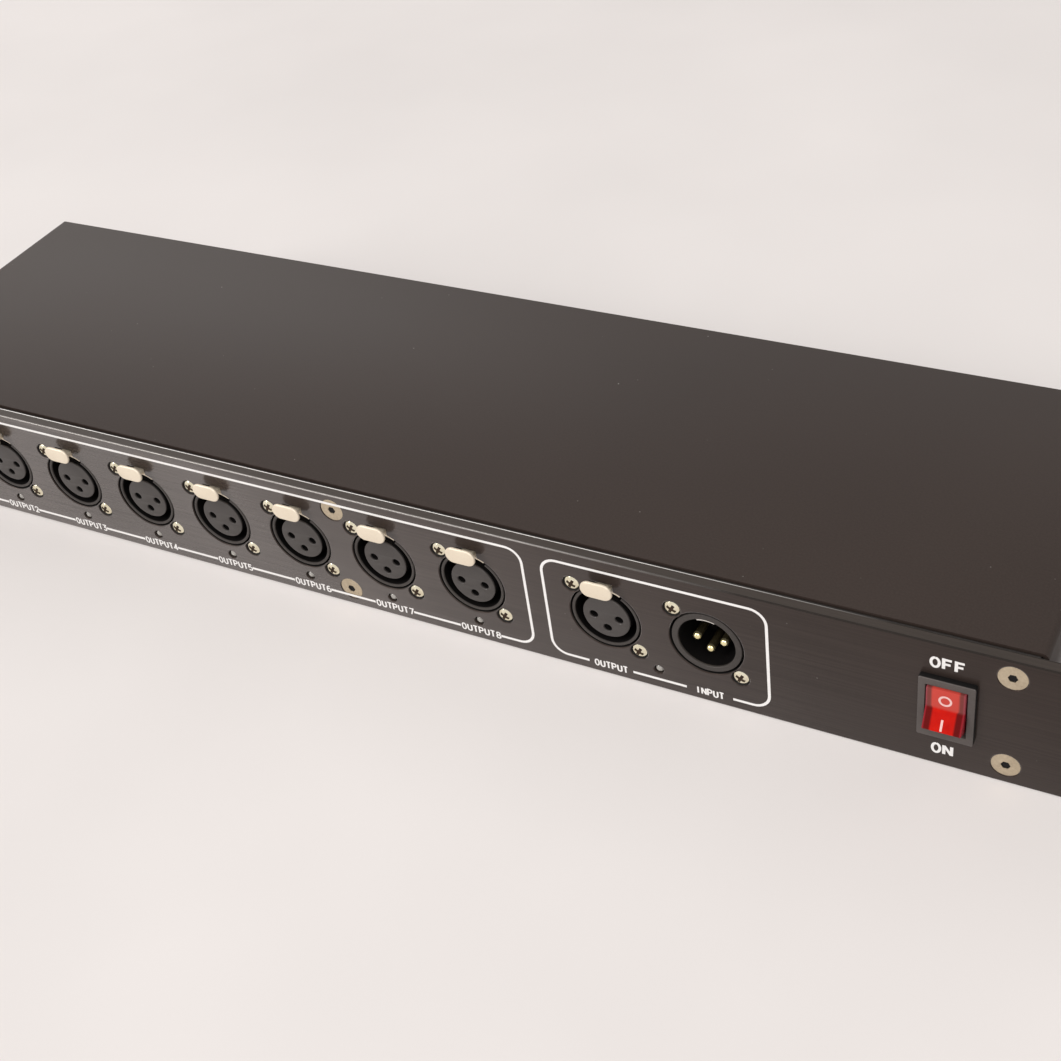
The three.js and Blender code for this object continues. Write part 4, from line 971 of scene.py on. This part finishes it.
def buildRocker(sizes):
    lean, crest = math.radians(sizes["lean"]), sizes["crest"]
    skirt, tail, tailHalf = pick(sizes, "skirt tail tailHalf")
    faceLength = sizes["windowHeight"] / 2 - sizes["gap"] - crest * math.sin(lean)
    endY, endZ = -crest - faceLength * math.sin(lean), faceLength * math.cos(lean)
    skirtY, skirtZ = endY + skirt * math.cos(lean), endZ + skirt * math.sin(lean)
    side = [(-crest, 0), (endY, -endZ), (skirtY, -skirtZ), (tail, -tailHalf), (tail, tailHalf), (skirtY, skirtZ),
            (endY, endZ)]
    bm = bmesh.new()
    face = bm.faces.new([bm.verts.new((-sizes["rockerHalf"], y, z)) for y, z in side])
    drawnOut(bm, bmesh.ops.extrude_face_region(bm, geom=[face]), (sizes["rockerHalf"] * 2, 0, 0))
    bmesh.ops.recalc_face_normals(bm, faces=bm.faces[:])
    softened(bm, bm.edges[:], sizes["edge"], 3)
    axle = pin(sizes["pivot"], -sizes["pivotReach"], sizes["pivotReach"], 0, 0)
    return together("rocker_cap", [leaned(bm, sizes), leaned(axle, sizes)])


# The marks lie on the two faces, drawn with the rocker level and then leaned with it
def buildRockerMarks(sizes, marks):
    lean, crest = math.radians(sizes["lean"]), sizes["crest"]
    outer, inner = marks["ring"]
    ring = plate(circle(0, 0, outer, 40), [circle(0, 0, inner, 40)], *marks["depth"], 0.01, 0)
    bar = moved(plate(boxOutline(*marks["bar"]), [], *marks["depth"], 0.01, 0), marks["barAside"])
    for shell, along, side in ((ring, marks["ringAlong"], 1), (bar, marks["barAlong"], -1)):
        turned(shell, side * sizes["lean"], "X")
        leaned(moved(shell, 0, -crest - along * math.sin(lean), side * along * math.cos(lean)), sizes)
    return together("rocker_marks", [ring, bar])


x, z = middleOf("switch_housing")
caseMesh, sidesMesh = buildSwitchHousing(switchSizes)
addPiece("switch_case", caseMesh, "switchBlack", x=x, z=z, instead=["switch_housing"])
addPiece("switch_frame_sides", sidesMesh, "paintedShadeBlack", x=x, z=z)
addPiece("rocker_cap", buildRocker(switchSizes), "rockerRed", body="switch_rocker", x=x, z=z,
         instead=["switch_rocker"])
addPiece("rocker_marks", buildRockerMarks(switchSizes, markSizes), "markPink",
         body="switch_rocker", x=x, z=z)
print("switch built")


# White print on the panel: two open frames and plain words for what each place does
printSizes = {
    "line": 1.0, "raise": 0.03, "corner": 5, "gapHalf": 7.15, "low": 3.35, "capHeight": 2.9, "stroke": 0.55,
    "frames": ((-190.8, 62.5, 40.6), (68.9, 137.3, 39.9)),  # left, right and top
    "numbered": (0.15, 14.0), "outputWidth": 11.0, "inputWidth": 9.0, "boldStroke": 0.9,
    "OFF": (-0.5, 37.3, 9.6, 4.1), "ON": (-0.95, 6.0, 6.1, 4.2),  # aside, z, width and height
}
# Each letter is drawn by its strokes in a box 0.62 wide and 1 high
roundO = [(0.31 + 0.31 * math.sin(a * math.pi / 8), 0.5 + 0.5 * math.cos(a * math.pi / 8)) for a in range(17)]
letterStrokes = {
    "O": [roundO],
    "U": [[(0, 1), (0, 0.28), (0.09, 0.07), (0.31, 0), (0.53, 0.07), (0.62, 0.28), (0.62, 1)]],
    "T": [[(-0.02, 1), (0.64, 1)], [(0.31, 1), (0.31, 0)]],
    "P": [[(0, 0), (0, 1), (0.36, 1), (0.56, 0.93), (0.62, 0.74), (0.56, 0.55), (0.36, 0.48), (0, 0.48)]],
    "I": [[(0.31, 0), (0.31, 1)]],
    "N": [[(0, 0), (0, 1)], [(0.03, 0.96), (0.59, 0.04)], [(0.62, 0), (0.62, 1)]],
    "F": [[(0, 0), (0, 1), (0.6, 1)], [(0, 0.52), (0.52, 0.52)]],
    "1": [[(0.1, 0.8), (0.34, 1), (0.34, 0)]],
    "2": [[(0, 0.76), (0.08, 0.94), (0.31, 1), (0.55, 0.93), (0.6, 0.72), (0.48, 0.5), (0, 0), (0.62, 0)]],
    "3": [[(0.02, 1), (0.6, 1), (0.3, 0.6), (0.52, 0.53), (0.62, 0.3), (0.5, 0.06), (0.28, 0), (0, 0.1)]],
    "4": [[(0.46, 0), (0.46, 1), (0, 0.3), (0.64, 0.3)]],
    "5": [[(0.58, 1), (0.06, 1), (0.02, 0.55), (0.3, 0.63), (0.54, 0.52), (0.62, 0.31), (0.52, 0.07), (0.27, 0),
           (0, 0.1)]],
    "6": [[(0.56, 0.93), (0.31, 1), (0.07, 0.84), (0, 0.42), (0.08, 0.08), (0.31, 0), (0.54, 0.08), (0.62, 0.31),
           (0.54, 0.53), (0.31, 0.6), (0.06, 0.5)]],
    "7": [[(0, 1), (0.62, 1), (0.24, 0)]],
    "8": [[(0.31, 0.54), (0.08, 0.63), (0.04, 0.8), (0.12, 0.95), (0.31, 1), (0.5, 0.95), (0.58, 0.8), (0.54, 0.63),
           (0.31, 0.54), (0.06, 0.42), (0, 0.24), (0.1, 0.05), (0.31, 0), (0.52, 0.05), (0.62, 0.24), (0.56, 0.42),
           (0.31, 0.54)]],
}


# A path is broken where it turns sharply, and both pieces run on by half a stroke to fill the corner
def brokenAtCorners(path, reach):
    points = [Vector(p) for p in path]
    pieces = [[points[0]]]
    for before, here, after in zip(points, points[1:], points[2:]):
        first, second = (here - before).normalized(), (after - here).normalized()
        if first.dot(second) < 0.55:
            pieces[-1].append(here + first * reach)
            pieces.append([here - second * reach])
        else:
            pieces[-1].append(here)
    pieces[-1].append(points[-1])
    return pieces


# Strokes along paths of (x, z) points, flat on the panel
def strokes(paths, width, sizes):
    curve = bpy.data.curves.new("stroke", "CURVE")
    curve.dimensions = "3D"
    curve.bevel_depth = width / 2
    curve.bevel_resolution = 1
    curve.use_fill_caps = True
    for path in paths:
        for piece in brokenAtCorners(path, width / 2):
            addPath(curve, [(place.x, 0, place.y) for place in piece], False)
    bm = shellOf(curve)
    bmesh.ops.scale(bm, verts=bm.verts[:], vec=(1, sizes["raise"] / width * 2, 1))
    tidyMesh(bm)
    return bm


def framePaths(left, right, top, gaps, sizes):
    low, corner = sizes["low"], sizes["corner"]
    starts = [left + corner] + [x + sizes["gapHalf"] for x in gaps]
    ends = [x - sizes["gapHalf"] for x in gaps] + [right - corner]
    around = arcPoints(left + corner, low + corner, corner, 270, 180, 8)
    around += arcPoints(left + corner, top - corner, corner, 180, 90, 8)
    around += arcPoints(right - corner, top - corner, corner, 90, 0, 8)
    around += arcPoints(right - corner, low + corner, corner, 0, -90, 8)
    between = list(zip(starts, ends))
    paths = [[(between[0][1], low)] + around + [(between[-1][0], low)]]
    return paths + [[(a, low), (b, low)] for a, b in between[1:-1] if b - a > 0.5]


# A word centred on x and z, its letters evenly set to the given width
def wordPaths(text, x, z, width, height, stroke):
    step = (width - stroke) / (len(text) - 0.34)
    letterWidth = step * 0.66
    paths = []
    for index, letter in enumerate(text):
        leftX = x - (width - stroke) / 2 + index * step
        for path in letterStrokes[letter]:
            paths.append([(leftX + px / 0.62 * letterWidth, z + (pz - 0.5) * (height - stroke)) for px, pz in path])
    return paths


outputX = [socketPlaces[name][0] for name in femaleNames if name.startswith("output")]
throughX, inputX = socketPlaces["through"][0], socketPlaces["input"][0]
paths = []
for frameSides, gaps in zip(printSizes["frames"], (sorted(outputX), [throughX, inputX])):
    paths += framePaths(*frameSides, gaps, printSizes)
frameShell = strokes(paths, printSizes["line"], printSizes)
addPiece("frame_lines", together("frame_lines", [frameShell]), "printWhite")
low, cap, stroke, boldStroke = pick(printSizes, "low capHeight stroke boldStroke")
aside, width = printSizes["numbered"]
paths = []
for name in femaleNames:
    if name.startswith("output"):
        paths += wordPaths("OUTPUT" + name[-1], socketPlaces[name][0] + aside, low, width, cap, stroke)
paths += wordPaths("OUTPUT", throughX, low, printSizes["outputWidth"], cap, stroke)
paths += wordPaths("INPUT", inputX, low, printSizes["inputWidth"], cap, stroke)
switchX = middleOf("switch_housing")[0]
bold = []
for word in ("OFF", "ON"):
    aside, z, width, height = printSizes[word]
    bold += wordPaths(word, switchX + aside, z, width, height, boldStroke)
words = [strokes(paths, stroke, printSizes), strokes(bold, boldStroke, printSizes)]
addPiece("panel_words", together("panel_words", words), "printWhite")
print("print laid on the panel")


# Floor and light: a pale matt floor, a soft sky, a tall lamp at the left front, a weak one at the left
# behind, and a broad fill at the right front
studio = {
    "floor": (0.795, 0.764, 0.750), "floorSize": 2.3, "floorDrop": 0.0002, "floorRough": 0.95, "floorSpecular": 0.1,
    "floorClouds": 5, "cloudsFrom": (0.35, 0.65), "floorShades": (0.97, 1.03),
    "sky": (1.0, 0.972, 0.954), "skyStrength": 0.36, "skySeen": 0.82, "lampColor": (1.0, 0.972, 0.954),
    # place, aim, size and power
    "front light": ((-3.15, -3.2, 2.9), (-0.05, 0, 0), (1.5, 3.2), 160),
    "window light": ((-3.7, 3.0, 2.4), (-0.1, 0, 0), (4.0, 2.4), 40),
    "fill light": ((2.3, -3.6, 4.4), (0.3, -0.4, 0), (3.6, 3.6), 206),
}
floorMesh = bmesh.new()
bmesh.ops.create_grid(floorMesh, x_segments=1, y_segments=1, size=studio["floorSize"])
floorData = bpy.data.meshes.new("floor")
floorMesh.to_mesh(floorData)
floorMesh.free()
floor = linked("floor", floorData)
floor.location = (0, 0, -studio["floorDrop"])
floorMaterial = bpy.data.materials.new("pale floor")
floorMaterial.use_nodes = True
floorTree = floorMaterial.node_tree
floorShader = floorTree.nodes["Principled BSDF"]
floorShader.inputs["Roughness"].default_value = studio["floorRough"]
floorShader.inputs["Specular IOR Level"].default_value = studio["floorSpecular"]
clouds = noiseNode(floorTree, objectPlace(floorTree), studio["floorClouds"], 3)
clouds = mapRange(floorTree, clouds, *studio["cloudsFrom"])
darker, lighter = [tuple(c * part for c in studio["floor"]) for part in studio["floorShades"]]
floorTree.links.new(mixColors(floorTree, clouds, darker, lighter), floorShader.inputs["Base Color"])
floorData.materials.append(floorMaterial)

world = bpy.data.worlds.new("soft sky")
bpy.context.scene.world = world
world.use_nodes = True
background = world.node_tree.nodes["Background"]
background.inputs["Color"].default_value = (*studio["sky"], 1)
# the sky lights the object softly, and the camera, gloss and glass see it as pale as the floor
rays = world.node_tree.nodes.new("ShaderNodeLightPath")
seen = mathNode(world.node_tree, "MAXIMUM", rays.outputs["Is Camera Ray"], rays.outputs["Is Glossy Ray"])
seen = mathNode(world.node_tree, "MAXIMUM", seen, rays.outputs["Is Transmission Ray"])
strength = mapRange(world.node_tree, seen, 0, 1, studio["skyStrength"], studio["skySeen"])
world.node_tree.links.new(strength, background.inputs["Strength"])

for name in ("front light", "window light", "fill light"):
    place, aim, size, power = studio[name]
    data = bpy.data.lights.new(name, "AREA")
    data.shape = "RECTANGLE"
    data.size, data.size_y = size
    data.energy = power
    data.color = studio["lampColor"]
    lamp = linked(name, data)
    lamp.location = place
    lamp.rotation_euler = (Vector(aim) - Vector(place)).to_track_quat("-Z", "Y").to_euler()
print("studio ready")
